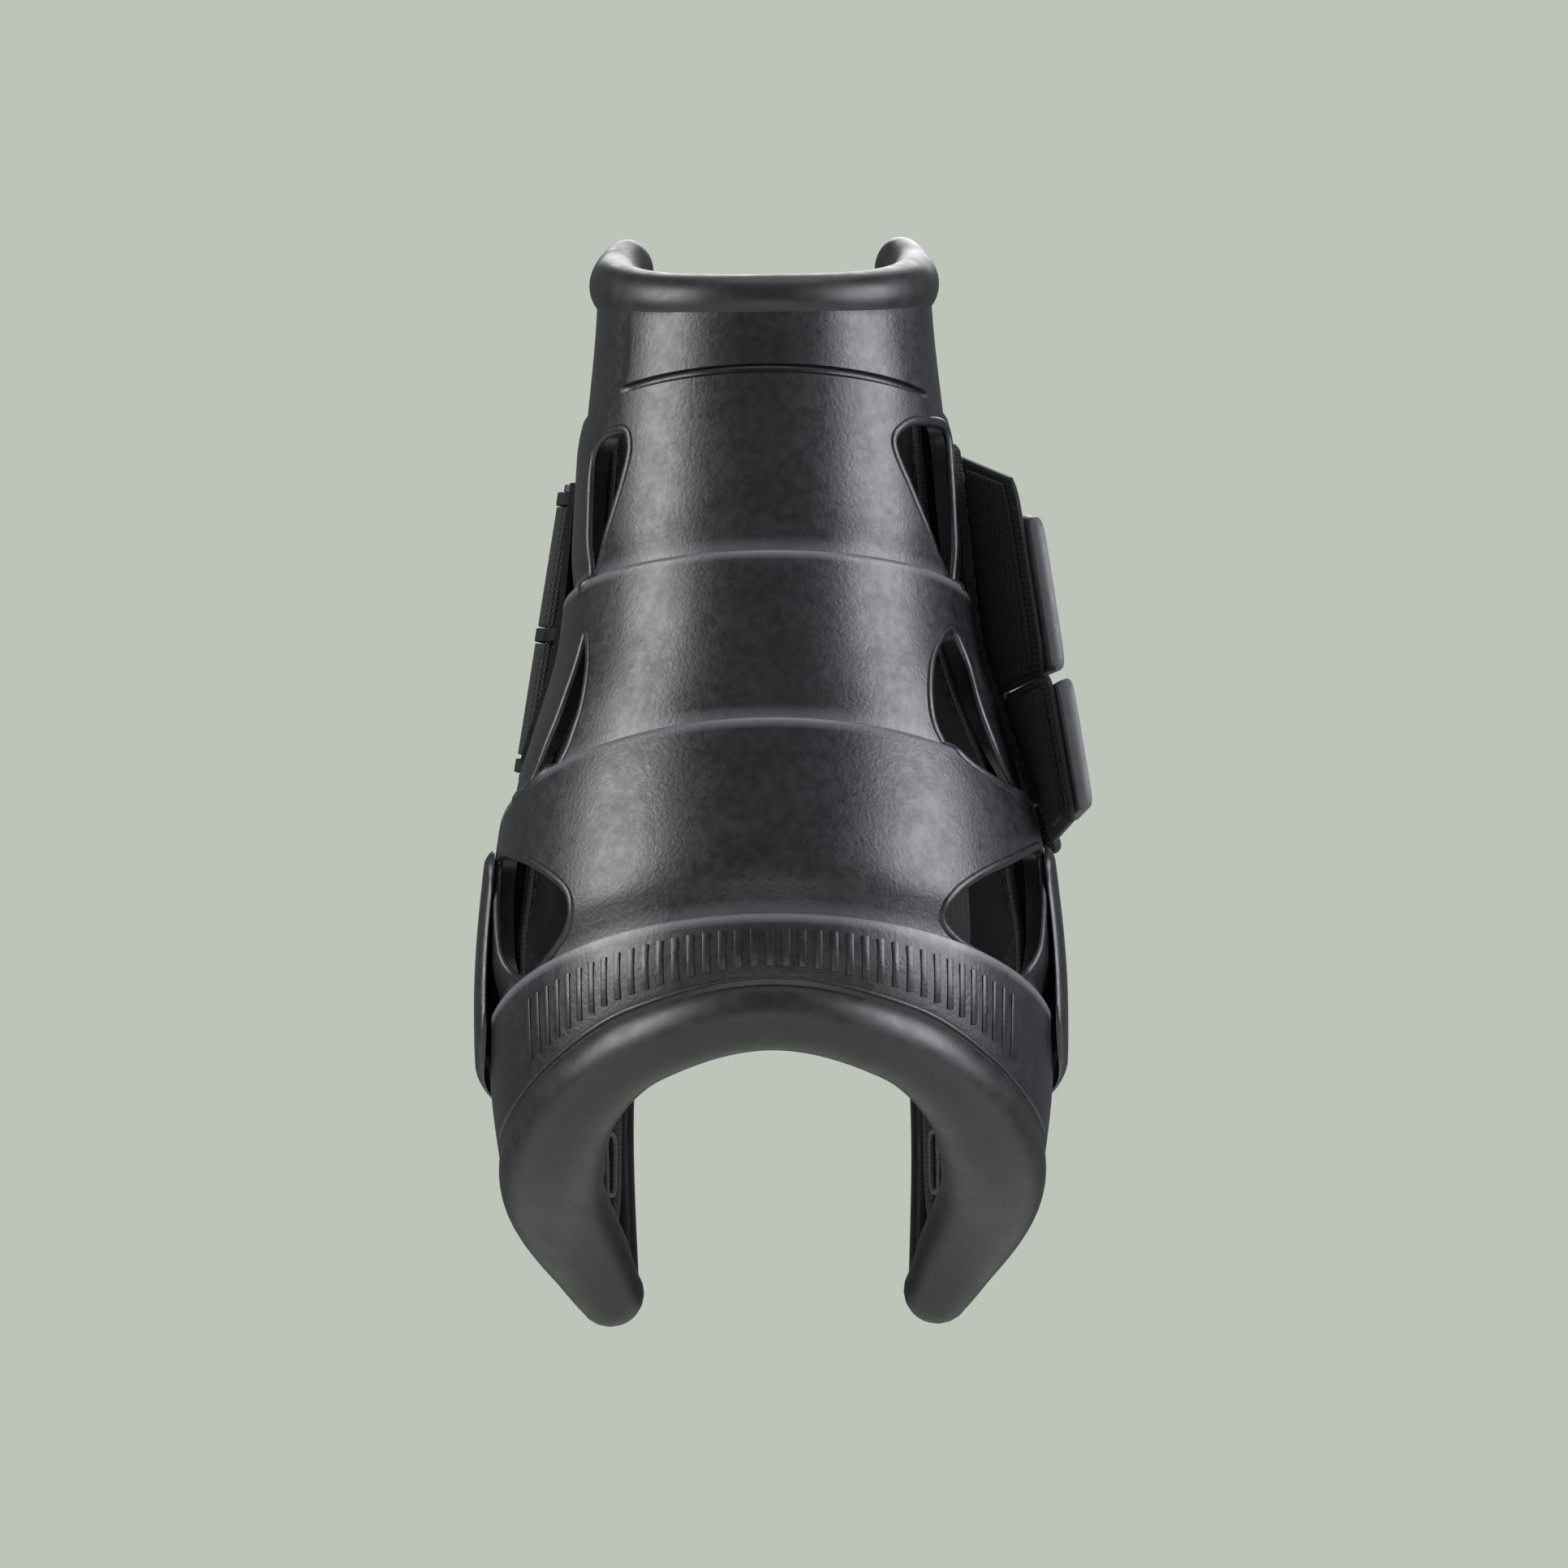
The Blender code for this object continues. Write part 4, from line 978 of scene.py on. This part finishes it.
def band_ticks(look):
    """Raised upright ticks on the bottom band."""
    made = bmesh.new()
    for number in range(TICK_COUNT):
        angle = TICK_HALF_ANGLE * (2 * number / (TICK_COUNT - 1) - 1)
        crease = line_height(CREASE_SHARES, angle)
        middle = (crease + rim_line(angle)) / 2
        half = (crease - rim_line(angle)) / 2 * TICK_HEIGHT_SHARE
        low, high = on_shell(angle, middle - half), on_shell(angle, middle + half)
        up, out = high - low, outward(angle, middle)
        across = out.cross(up).normalized() * TICK_WIDTH
        lie = laid_along(across, out * TICK_PROUD * 2, up, (low + high) / 2)
        bmesh.ops.create_cube(made, size=1, matrix=lie)
    bmesh.ops.bevel(
        made, geom=made.edges[:], offset=TICK_PROUD * TICK_BEVEL_SHARE, offset_type="OFFSET", affect="EDGES",
        segments=2, profile=0.5, material=-1,
    )
    made.loops.layers.uv.new("surface")
    seal("band_ticks", made, look, "shell")


def band_bead(look):
    """The fine bead along the band's foot, just above the padded rim."""

    def place(part):
        angle = BEAD_HALF_ANGLE * part
        height = rim_line(angle) + BEAD_RADIUS * 2
        return on_shell(angle, height), outward(angle, height), BEAD_RADIUS, BEAD_RADIUS

    roll("band_bead", place, BEAD_MESH, look)


def padded_rim(look):
    """The soft rolled rim round the boot's lower edge."""

    def place(part):
        angle = RIM_END_ANGLE * part
        height, radius = rim_height(angle), rim_radius(angle)
        centre = on_shell(angle, height, RIM_PROUD * rim_part(angle, 3) - radius)
        return centre, outward(angle, height), radius, radius

    rim = roll("padded_rim", place, RIM_MESH, look)
    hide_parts("bottom_rim")


def rolled_cuff(look):
    """The rolled top cuff, up to the two front corners."""

    def place(part):
        angle = CUFF_END_ANGLE * part
        height = cuff_height(angle)
        centre = on_shell(angle, height, CUFF_PROUD - CUFF_HALF_THICKNESS)
        return centre, outward(angle, height), CUFF_HALF_THICKNESS, CUFF_HALF_HEIGHT * cuff_part(angle, 2)

    cuff = roll("rolled_cuff", place, CUFF_MESH, look)
    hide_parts("top_cuff")


def front_binding(side, name, look):
    """The soft binding up the front edge of one wing."""
    low, high = rim_height(RIM_END_ANGLE), cuff_height(CUFF_END_ANGLE)

    def place(part):
        height = mix(low, high, (part + 1) / 2)
        angle = side * edge_angle(height)
        out = outward(angle, height)
        ahead = Vector((-out.y, out.x, 0)) * side
        return on_shell(angle, height, -WALL / 2) + ahead * TRIM_STANDOFF, out, TRIM_RADIUS, TRIM_RADIUS

    binding = roll(f"front_binding_{name}", place, TRIM_MESH, look)
    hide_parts(f"front_trim_{name}")


# Lining


def lining_pad(name, node, span, top, channels, looks, slots=()):
    """A quilted pad on the shell's inner face, with its bound edge, its stitching and its bound slots.

    span gives the angles between which the pad lies at a height.
    """
    pad_look, bind_look, slot_look, thread = looks

    def foot(angle):
        return rim_height(angle) + rim_radius(angle) + PAD_CLEARANCE

    def place(column, row):
        start, end = span(mix(foot(sum(span(top)) / 2), top, row))
        angle = (start + end) / 2 + column * (end - start) / 2 * drawn_in(row, PAD_CORNER_SHARE)
        return angle, mix(foot(angle), top, row)

    def thickness(column, row, pressed_in):
        crown = bulge(column, 4) * bulge(2 * row - 1, 6)
        channel = abs(math.cos(math.pi * row * channels)) ** 8
        thick = PAD_EDGE + PAD_CROWN * crown * (1 - PAD_CHANNEL_SHARE * channel)
        for across, up in pressed_in:
            away = ((column - across) / SLOT_HALF_COLUMN) ** 4 + ((row - up) / SLOT_HALF_ROW) ** 4
            thick *= 1 - SLOT_DEPTH_SHARE * ease((1 - away) * 2)
        return thick

    def face(column, row, inward, pressed_in=slots):
        angle, height = place(column, row)
        if not inward:
            return on_shell(angle, height, -WALL - PAD_GAP)
        thick = thickness(column, row, pressed_in)
        spot = on_shell(angle, height)
        ripple = noise.noise(Vector((spot.x, spot.y, spot.z * PAD_WRINKLE_STRETCH)) / PAD_WRINKLE_SIZE)
        soft = max(0, (thick - PAD_EDGE) / PAD_CROWN)
        return on_shell(angle, height, -WALL - PAD_GAP - thick - PAD_WRINKLE * ripple * soft)

    def ring(name, spots, pressed_in, size, sides, look):
        """A thin binding round a closed line of columns and rows on the pad's face."""
        points = [face(column, row, True, pressed_in) for column, row in spots]
        outs = [outward(*place(column, row)) for column, row in spots]
        made = tube(loop_path(points, outs, *size), sides, closed=True)
        seal(name, made, look, "shell")

    made = sheet(PAD_COLUMNS, channels * PAD_CHANNEL_ROWS, face, True, False)
    pad = seal(name, made, pad_look, "shell")
    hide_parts(node)
    edge = border(PAD_BORDER_STEPS, 1 - PAD_BINDING_INSET, PAD_BINDING_INSET / 2)
    ring(f"{name}_binding", edge, slots, PAD_BINDING_SIZE, FINE_SIDES, bind_look)
    seam = [face(column, row, True) for column, row in border(PAD_BORDER_STEPS, SEAM_ACROSS, SEAM_INSET)]
    lines = [seam + seam[:1]]
    across = [CHANNEL_SEAM_ACROSS * (2 * step / PAD_BORDER_STEPS - 1) for step in range(PAD_BORDER_STEPS + 1)]
    for channel in range(1, channels):
        lines.append([face(column, channel / channels, True) for column in across])
    for number, (middle, up) in enumerate(slots):
        spots = []
        for step in range(SLOT_STEPS):
            turn = 2 * math.pi * step / SLOT_STEPS
            cos, sin = math.cos(turn), math.sin(turn)
            column = middle + SLOT_HALF_COLUMN * math.copysign(math.sqrt(abs(cos)), cos)
            spots.append((column, up + SLOT_HALF_ROW * math.copysign(math.sqrt(abs(sin)), sin)))
        ring(f"{name}_slot_{number}", spots, (), (SLOT_BINDING, SLOT_BINDING), SLOT_SIDES, slot_look)
    seal(f"{name}_stitching", stitches(lines, towards_leg), thread, "shell")


def side_guard(side, name, look):
    """The raised, slotted guard on one flank."""

    def place(column, row):
        low, high = heights(GUARD_HEIGHT_SHARES)
        half = (high - low) / 2 * mix(GUARD_END_SHARE, 1, bulge(column, 6))
        height = (high + low) / 2 + half * (2 * row - 1) - GUARD_FALL * column
        return side * mix(GUARD_START, GUARD_END, (column + 1) / 2), height

    def dip(column, row):
        """How deep a slot is pressed at a place: 0 outside, 1 on its floor."""
        deepest = 0.0
        angle, height = place(column, row)
        half_wide = GUARD_SLOT_HALF_ANGLE * HALF_WIDTH
        for index in range(GUARD_SLOTS):
            slot_column = ((2 * index + 1) / GUARD_SLOTS - 1) * GUARD_SLOT_SPREAD_SHARE
            middle, low = place(slot_column, 0)
            low, high = low + GUARD_SLOT_MARGIN, place(slot_column, 1)[1] - GUARD_SLOT_MARGIN
            beyond = max(0, abs(height - (high + low) / 2) - (high - low) / 2 + half_wide)
            distance = math.hypot((angle - middle) * HALF_WIDTH, beyond)
            deepest = max(deepest, ease((half_wide - distance) / half_wide * GUARD_SLOT_WALL))
        return deepest

    def face(column, row, out):
        inside, above = 1 - abs(column), 1 - abs(2 * row - 1)
        taper = min(1, 4 * inside + 1 / 2) * min(1, 5 * above + 1 / 2)
        edge = min(inside * GUARD_ROUNDING, above * GUARD_ROUNDING, 1)
        taper *= mix(GUARD_EDGE_SHARE, 1, math.sqrt(1 - (1 - edge) ** 2))
        pressed = dip(column, row) * GUARD_SLOT_PRESS if out else 0
        return on_shell(*place(column, row), PLATE_LIP + SEAT_GAP + out * taper * (1 - pressed))

    made = sheet(*GUARD_MESH, face, GUARD_THICKNESS, 0.0)
    guard = seal(f"flank_guard_{name}", made, look, "shell")
    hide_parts(f"side_guard_{name}")


# Straps, flaps and what they meet


def upright(angle, shares, standoff, height):
    """The point at a height on a straight line that stands off the shell at one angle."""
    low, high = heights(shares)
    foot, head = on_shell(angle, low, standoff), on_shell(angle, high, standoff)
    return foot.lerp(head, (height - low) / (high - low))


def bar_point(height):
    """The point of the strap bar's axis at a height."""
    standoff = PLATE_LIP + SEAT_GAP + SEAT_THICKNESS + EYE_CLEARANCE + STRAP_EYE_RADIUS
    return upright(BAR_ANGLE, BAR_HEIGHT_SHARES, standoff, height)


def hinge_point(level, height):
    """The point at a height on the fold between a strap and its flap."""
    standoff = PLATE_LIP + SEAT_GAP + LOOP_THICKNESS + FLAP_CLEARANCE + FLAP_BEAD_RADIUS
    return upright(FOLD_ANGLES[level], FOLD_HEIGHT_SHARES[level], standoff, height)


def strap_place(level, column, row):
    """Middle line of a strap, from its flap (-1) to its bar (1), and the direction out of it."""
    bar_low, bar_high = heights(STRAP_HEIGHT_SHARES[level]["bar"])
    flap_low, flap_high = heights(STRAP_HEIGHT_SHARES[level]["flap"])
    standoff = PLATE_LIP + SEAT_GAP + LOOP_THICKNESS + STRAP_CLEARANCE + STRAP_THICKNESS / 2
    bar_angle = 2 * math.pi + BAR_ANGLE
    flap_angle = FOLD_ANGLES[level]
    part = (column + 1) / 2
    angle = mix(flap_angle + STRAP_SHORT, bar_angle, part)
    height = mix(mix(flap_low, bar_low, part), mix(flap_high, bar_high, part), row)
    middle = on_shell(angle, height, standoff)
    middle = middle.lerp(bar_point(height), ease((angle - bar_angle + STRAP_BLEND) / STRAP_BLEND))
    middle = middle.lerp(hinge_point(level, height), ease((flap_angle + STRAP_BLEND - angle) / STRAP_BLEND))
    return middle, outward(angle, height)


def elastic_strap(level, look, thread):
    """One elastic strap with its sewn loop round the bar."""

    def face(column, row, out):
        middle, away = strap_place(level, column, row)
        return middle + away * out * mix(STRAP_EDGE_SHARE, 1, bulge(2 * row - 1, 10))

    half, body = STRAP_THICKNESS / 2, f"{level}_strap"
    made = sheet(*STRAP_MESH, face, half, -half)
    strap = seal(f"elastic_strap_{level}", made, look, body)
    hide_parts(f"strap_{level}")
    low, high = (bar_point(height) for height in heights(STRAP_HEIGHT_SHARES[level]["bar"]))
    along = (high - low).normalized()
    across = along.orthogonal().normalized()
    other = along.cross(across)
    low, high = low - along * LOOP_REACH, high + along * LOOP_REACH

    def sleeve(column, row, radius):
        turn = column * math.pi
        return low.lerp(high, row) + (across * math.cos(turn) + other * math.sin(turn)) * radius

    made = sheet(*EYE_MESH, sleeve, STRAP_EYE_RADIUS, BAR_RADIUS + BAR_CLEARANCE)
    seal(f"strap_loop_{level}", made, look, body)
    lines = []
    for column in STRAP_CROSS_SEAMS:
        rows = [mix(*STRAP_CROSS_SEAM_ROWS, step / CROSS_STEPS) for step in range(CROSS_STEPS + 1)]
        lines.append([face(column, row, half) for row in rows])
    for row in STRAP_EDGE_SEAMS:
        columns = [mix(*STRAP_EDGE_SEAM_COLUMNS, step / EDGE_STEPS) for step in range(EDGE_STEPS + 1)]
        lines.append([face(column, row, half) for column in columns])
    seal(f"strap_stitching_{level}", stitches(lines, away_from_leg), thread, body)


def flap_place(level, along, rise):
    """A point of the flap's middle face, from its fold (0) to its free edge (1) and from its foot up."""
    fold_low, fold_high = heights(FOLD_HEIGHT_SHARES[level])
    free_low, free_high = heights(FREE_HEIGHT_SHARES[level])
    low_out, high_out = FREE_STANDOFFS[level]
    low = on_shell(FREE_ANGLES[level], free_low, low_out)
    high = on_shell(FREE_ANGLES[level], free_high, high_out)
    fold = hinge_point(level, mix(fold_low, fold_high, rise))
    return fold.lerp(low.lerp(high, rise), along)


def flap_out(level):
    """The direction out of a flap's face."""
    travel = flap_place(level, 1, 1 / 2) - flap_place(level, 0, 1 / 2)
    rise = flap_place(level, 0, 1) - flap_place(level, 0, 0)
    return rise.cross(travel).normalized()


def flap_layer(name, level, rises, reach, faces, look, ribs=0):
    """A layer of a flap, with rounded corners and edges.

    rises and reach are the shares of the flap's height and length that it takes up, and faces are the
    distances of its two faces from the flap's middle one.
    """
    out = flap_out(level)
    (start, end), (near, far) = reach, faces
    middle, half = (near + far) / 2, (far - near) / 2

    def face(column, row, sign):
        along = (start + end) / 2 + column * (end - start) / 2 * drawn_in(row, LAYER_CORNER_SHARE)
        edge = bulge(2 * row - 1, 16) * bulge(column, 16)
        away = middle + sign * half * mix(LAYER_EDGE_SHARE, 1, edge)
        if ribs and sign > 0 and abs(column) < RIB_COLUMNS and abs(2 * row - 1) < RIB_ROWS:
            away += (math.cos(2 * math.pi * row * ribs) - 1) / 2 * half * RIB_DEPTH_SHARE
        return flap_place(level, along, mix(*rises, row)) + out * away

    return seal(name, sheet(*FLAP_MESH, face, 1, -1), look, f"{level}_flap")


def stiff_flap(level, looks):
    """The flap at a strap's end with its hook patch, its pull tab and its stitching."""
    webbing, hook, grip, thread = looks
    bottom, top = heights(FOLD_HEIGHT_SHARES[level])
    half, margin, reach = FLAP_THICKNESS / 2, HOOK_MARGIN / (top - bottom), FLAP_REACH / (top - bottom)
    rises = (-reach, 1.0) if level == "upper" else (0.0, 1.0 + reach)
    flap = flap_layer(
        f"stiff_flap_{level}", level, rises, (FLAP_START_SHARE, 1.0),
        (-half, half), webbing,
    )
    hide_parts(f"flap_{level}")
    rows = [step / FLAP_STEPS for step in range(FLAP_STEPS + 1)]
    out = flap_out(level)
    path = [
        (hinge_point(level, mix(bottom, top, row)), out, FLAP_BEAD_RADIUS, FLAP_BEAD_RADIUS) for row in rows
    ]
    made = tube(rounded_path(path), BEAD_SIDES)
    seal(f"flap_fold_{level}", made, webbing, f"{level}_flap")
    skin = half + SEAT_GAP / 3
    patch = flap_layer(
        f"hook_tape_{level}", level, (margin, 1 - margin), (HOOK_START_SHARES[level], HOOK_END_SHARE),
        (-skin - HOOK_THICKNESS, -skin), hook,
    )
    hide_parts(f"hook_patch_{level}")
    tab = flap_layer(
        f"pull_tab_{level}", level, TAB_RISE_SHARES[level], (TAB_START_SHARE, TAB_END_SHARE),
        (skin, skin + TAB_THICKNESS), grip, TAB_RIBS,
    )
    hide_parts(f"tab_{level}")
    lines = [
        [flap_place(level, along, mix(margin, 1 - margin, row)) + out * half for row in rows]
        for along in FLAP_SEAMS
    ]
    made = stitches(lines, lambda point: out)
    seal(f"flap_stitching_{level}", made, thread, f"{level}_flap")


def loop_panel(look, thread):
    """The loop panel on the right flank that both hook patches press on."""
    near = PLATE_LIP + SEAT_GAP
    far = near + LOOP_THICKNESS
    middle, half = (LOOP_START + LOOP_END) / 2, (LOOP_END - LOOP_START) / 2

    def face(column, row, out):
        angle = middle + column * half * drawn_in(row, PANEL_CORNER_SHARE)
        return on_shell(angle, mix(*heights(LOOP_HEIGHT_SHARES), row), out)

    made = sheet(*PANEL_MESH, face, far, near - SEAT_GAP * 2)
    panel = seal("loop_pile", made, look, "shell")
    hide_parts("loop_panel")
    line = [face(column, row, far) for column, row in border(PANEL_BORDER_STEPS, SEAM_ACROSS, SEAM_INSET)]
    made = stitches([line + line[:1]], away_from_leg)
    seal("loop_stitching", made, thread, "shell")


# Stage


def paper_floor():
    """Pale seamless paper: a faint mottling, and a backdrop's paleness for the camera alone."""
    made, tree, shader = new_material("pale_floor", 0.8)
    place = add(tree, "ShaderNodeTexCoord").outputs["Object"]
    fibres = add(tree, "ShaderNodeTexNoise", {"Vector": place}, {"Scale": 1 / PAPER_MOTTLE, "Detail": 4.0})
    colour = add(
        tree, "ShaderNodeMix", {0: fibres.outputs["Fac"]},
        {6: linear("D2D7CE"), 7: linear("DADED6")}, data_type="RGBA",
    )
    tree.links.new(colour.outputs[2], shader.inputs["Base Color"])
    path = add(tree, "ShaderNodeLightPath")
    share = add(
        tree, "ShaderNodeMath", {0: path.outputs["Is Camera Ray"]}, {1: FLOOR_PALENESS}, operation="MULTIPLY"
    )
    glow = add(tree, "ShaderNodeEmission", None, {"Color": linear(BACKDROP_HEX), "Strength": 1.0})
    both = add(tree, "ShaderNodeMixShader", {0: share.outputs[0], 1: shader.outputs[0], 2: glow.outputs[0]})
    tree.links.new(both.outputs[0], tree.nodes["Material Output"].inputs["Surface"])
    return made


def studio():
    """Pale floor, soft lamps and the camera at the photograph's angle."""
    scene = bpy.context.scene
    made = bmesh.new()
    level = Matrix.Translation((0, 0, FLOOR_LEVEL))
    bmesh.ops.create_grid(made, x_segments=1, y_segments=1, size=FLOOR_SIZE / 2, matrix=level)
    mesh = bpy.data.meshes.new("floor")
    made.to_mesh(mesh)
    made.free()
    floor = bpy.data.objects.new("floor", mesh)
    scene.collection.objects.link(floor)
    mesh.materials.append(paper_floor())

    for name, spot, wide, tall, power, tint in LAMPS:
        data = bpy.data.lights.new(name, "AREA")
        data.shape = "RECTANGLE"
        data.size, data.size_y = wide, tall
        data.color = tint
        data.energy = power
        lamp = bpy.data.objects.new(name, data)
        lamp.location = spot
        lamp.rotation_euler = (LAMP_AIM - Vector(spot)).to_track_quat("-Z", "Y").to_euler()
        lamp.visible_camera = False
        scene.collection.objects.link(lamp)

    world = bpy.data.worlds.new("studio")
    scene.world = world
    world.use_nodes = True
    tree = world.node_tree
    tree.nodes.clear()
    path = add(tree, "ShaderNodeLightPath").outputs
    seen = add(
        tree, "ShaderNodeMath", {0: path["Is Camera Ray"], 1: path["Is Transmission Ray"]},
        operation="MAXIMUM",
    )
    light = add(tree, "ShaderNodeBackground", None, {"Color": WORLD_TINT, "Strength": WORLD_STRENGTH})
    back = add(tree, "ShaderNodeBackground", None, {"Color": linear(BACKDROP_HEX), "Strength": 1.0})
    both = add(tree, "ShaderNodeMixShader", {0: seen.outputs[0], 1: light.outputs[0], 2: back.outputs[0]})
    add(tree, "ShaderNodeOutputWorld", {"Surface": both.outputs[0]})

    data = bpy.data.cameras.new("camera")
    data.sensor_width = SENSOR * 1000
    data.lens = SENSOR * 1000 * CAMERA_DISTANCE / (PIXELS_ACROSS / PIXELS_PER_METRE)
    data.clip_start, data.clip_end = CAMERA_CLIP
    camera = bpy.data.objects.new("camera", data)
    back_off = Vector((0, -math.cos(CAMERA_ELEVATION), math.sin(CAMERA_ELEVATION))) * CAMERA_DISTANCE
    camera.location = AIM + back_off
    facing = (-back_off).to_track_quat("-Z", "Y").to_matrix()
    camera.rotation_euler = (facing @ Matrix.Rotation(CAMERA_ROLL, 3, "Z")).to_euler()
    scene.collection.objects.link(camera)
    scene.camera = camera
    scene.view_settings.view_transform = "Standard"


def build():
    # Satin polyurethane from a grained mould: broad soft highlights, with a paler painted highlight along the
    # lips of the plates and the band
    shell_look = moulded("moulded_polyurethane", ("17171A", "1F1F22"), 0.35, 0.0007, 0.00005, "68686D")
    # Matt nylon: the darkest hard piece, so the bar and its lugs stay quiet
    seat_look = moulded("moulded_nylon", ("080809", "0D0D0E"), 0.75, 0.0007, 0.00005, ior=1.4)
    # Neoprene under a smooth skin: one long rolled highlight and hardly any grain
    soft_look = moulded("skinned_neoprene", ("151516", "1C1C1E"), 0.41, 0.0012, 0.00002)
    # Grey rubber: a dull even face on which the grip ribs read
    grip_look = moulded("moulded_rubber", ("48484A", "525255"), 0.5, 0.0006, 0.00005)
    # Knitted polyester: a black lining, darkened further as painted shade so that the vents stay dark
    lining_and_vent_shade = woven("knitted_polyester", ("08080A", "111112"), 0.9, 0.0009, 0.0009, 0.00012, 0.05)
    # Woven tapes: a thin paler line round the pads, and a grey one round their slots
    edging = woven("dark_polyester_tape", ("38383A", "4A4A4D"), 0.8, 0.0006, 0.0009, 0.0001)
    tape = woven("grey_polyester_tape", ("5E5E60", "77777A"), 0.8, 0.0006, 0.0009, 0.0001)
    # Elastic webbing: dark ribs along the strap, crossed by its weft
    webbing = woven("woven_elastic", ("0A0A0B", "18181A"), 0.75, 0.0011, 0.0008, 0.00018, 0.1)
    # Nylon hooks and loops: flat black stubble, and a softer pile with a bloom at its edges
    hook = piled("nylon_hooks", ("070707", "141415"), 0.9, 0.0009, 0.0003, 0.05)
    pile = piled("nylon_loops", ("0B0B0C", "1E1E20"), 0.95, 0.0007, 0.0003, 0.5)
    # Polyester thread: a row of small grey dashes
    thread = moulded("polyester_thread", ("2A2A2C", "3C3C3F"), 0.6, 0.0004, 0.00003)
    # Blackened steel wire: a thin sharp glint along the bar
    steel = drawn_wire("blackened_steel", ("2A2A2C", "4A4A4D"), 0.34, 0.0009, 0.00004)

    moulded_shell(shell_look)
    vent_lips(shell_look)
    band_ticks(shell_look)
    band_bead(shell_look)
    padded_rim(soft_look)
    rolled_cuff(soft_look)
    pad_looks = (lining_and_vent_shade, edging, tape, thread)
    side_top, back_top = under_cuff(SIDE_PAD_START, SIDE_PAD_DROP), under_cuff(0.0, BACK_PAD_DROP)
    for side, name in ((-1, "left"), (1, "right")):
        front_binding(side, name, soft_look)
        side_guard(side, name, shell_look)

        def span(height, side=side):
            return side * SIDE_PAD_START, side * (edge_angle(min(height, side_top)) - SIDE_PAD_MARGIN)

        lining_pad(
            f"lining_{name}", f"side_pad_{name}", span, side_top, SIDE_PAD_CHANNELS, pad_looks, SIDE_SLOTS
        )
    lining_pad(
        "lining_back", "back_pad", lambda height: (-BACK_PAD_HALF_ANGLE, BACK_PAD_HALF_ANGLE),
        back_top, BACK_PAD_CHANNELS, pad_looks,
    )
    loop_panel(pile, thread)
    for level in ("upper", "lower"):
        elastic_strap(level, webbing, thread)
        stiff_flap(level, (webbing, hook, grip_look, thread))
    for node, look in (("strap_seat", seat_look), ("strap_bar", steel)):
        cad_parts[node].data.materials.clear()
        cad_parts[node].data.materials.append(look)
    studio()


build()
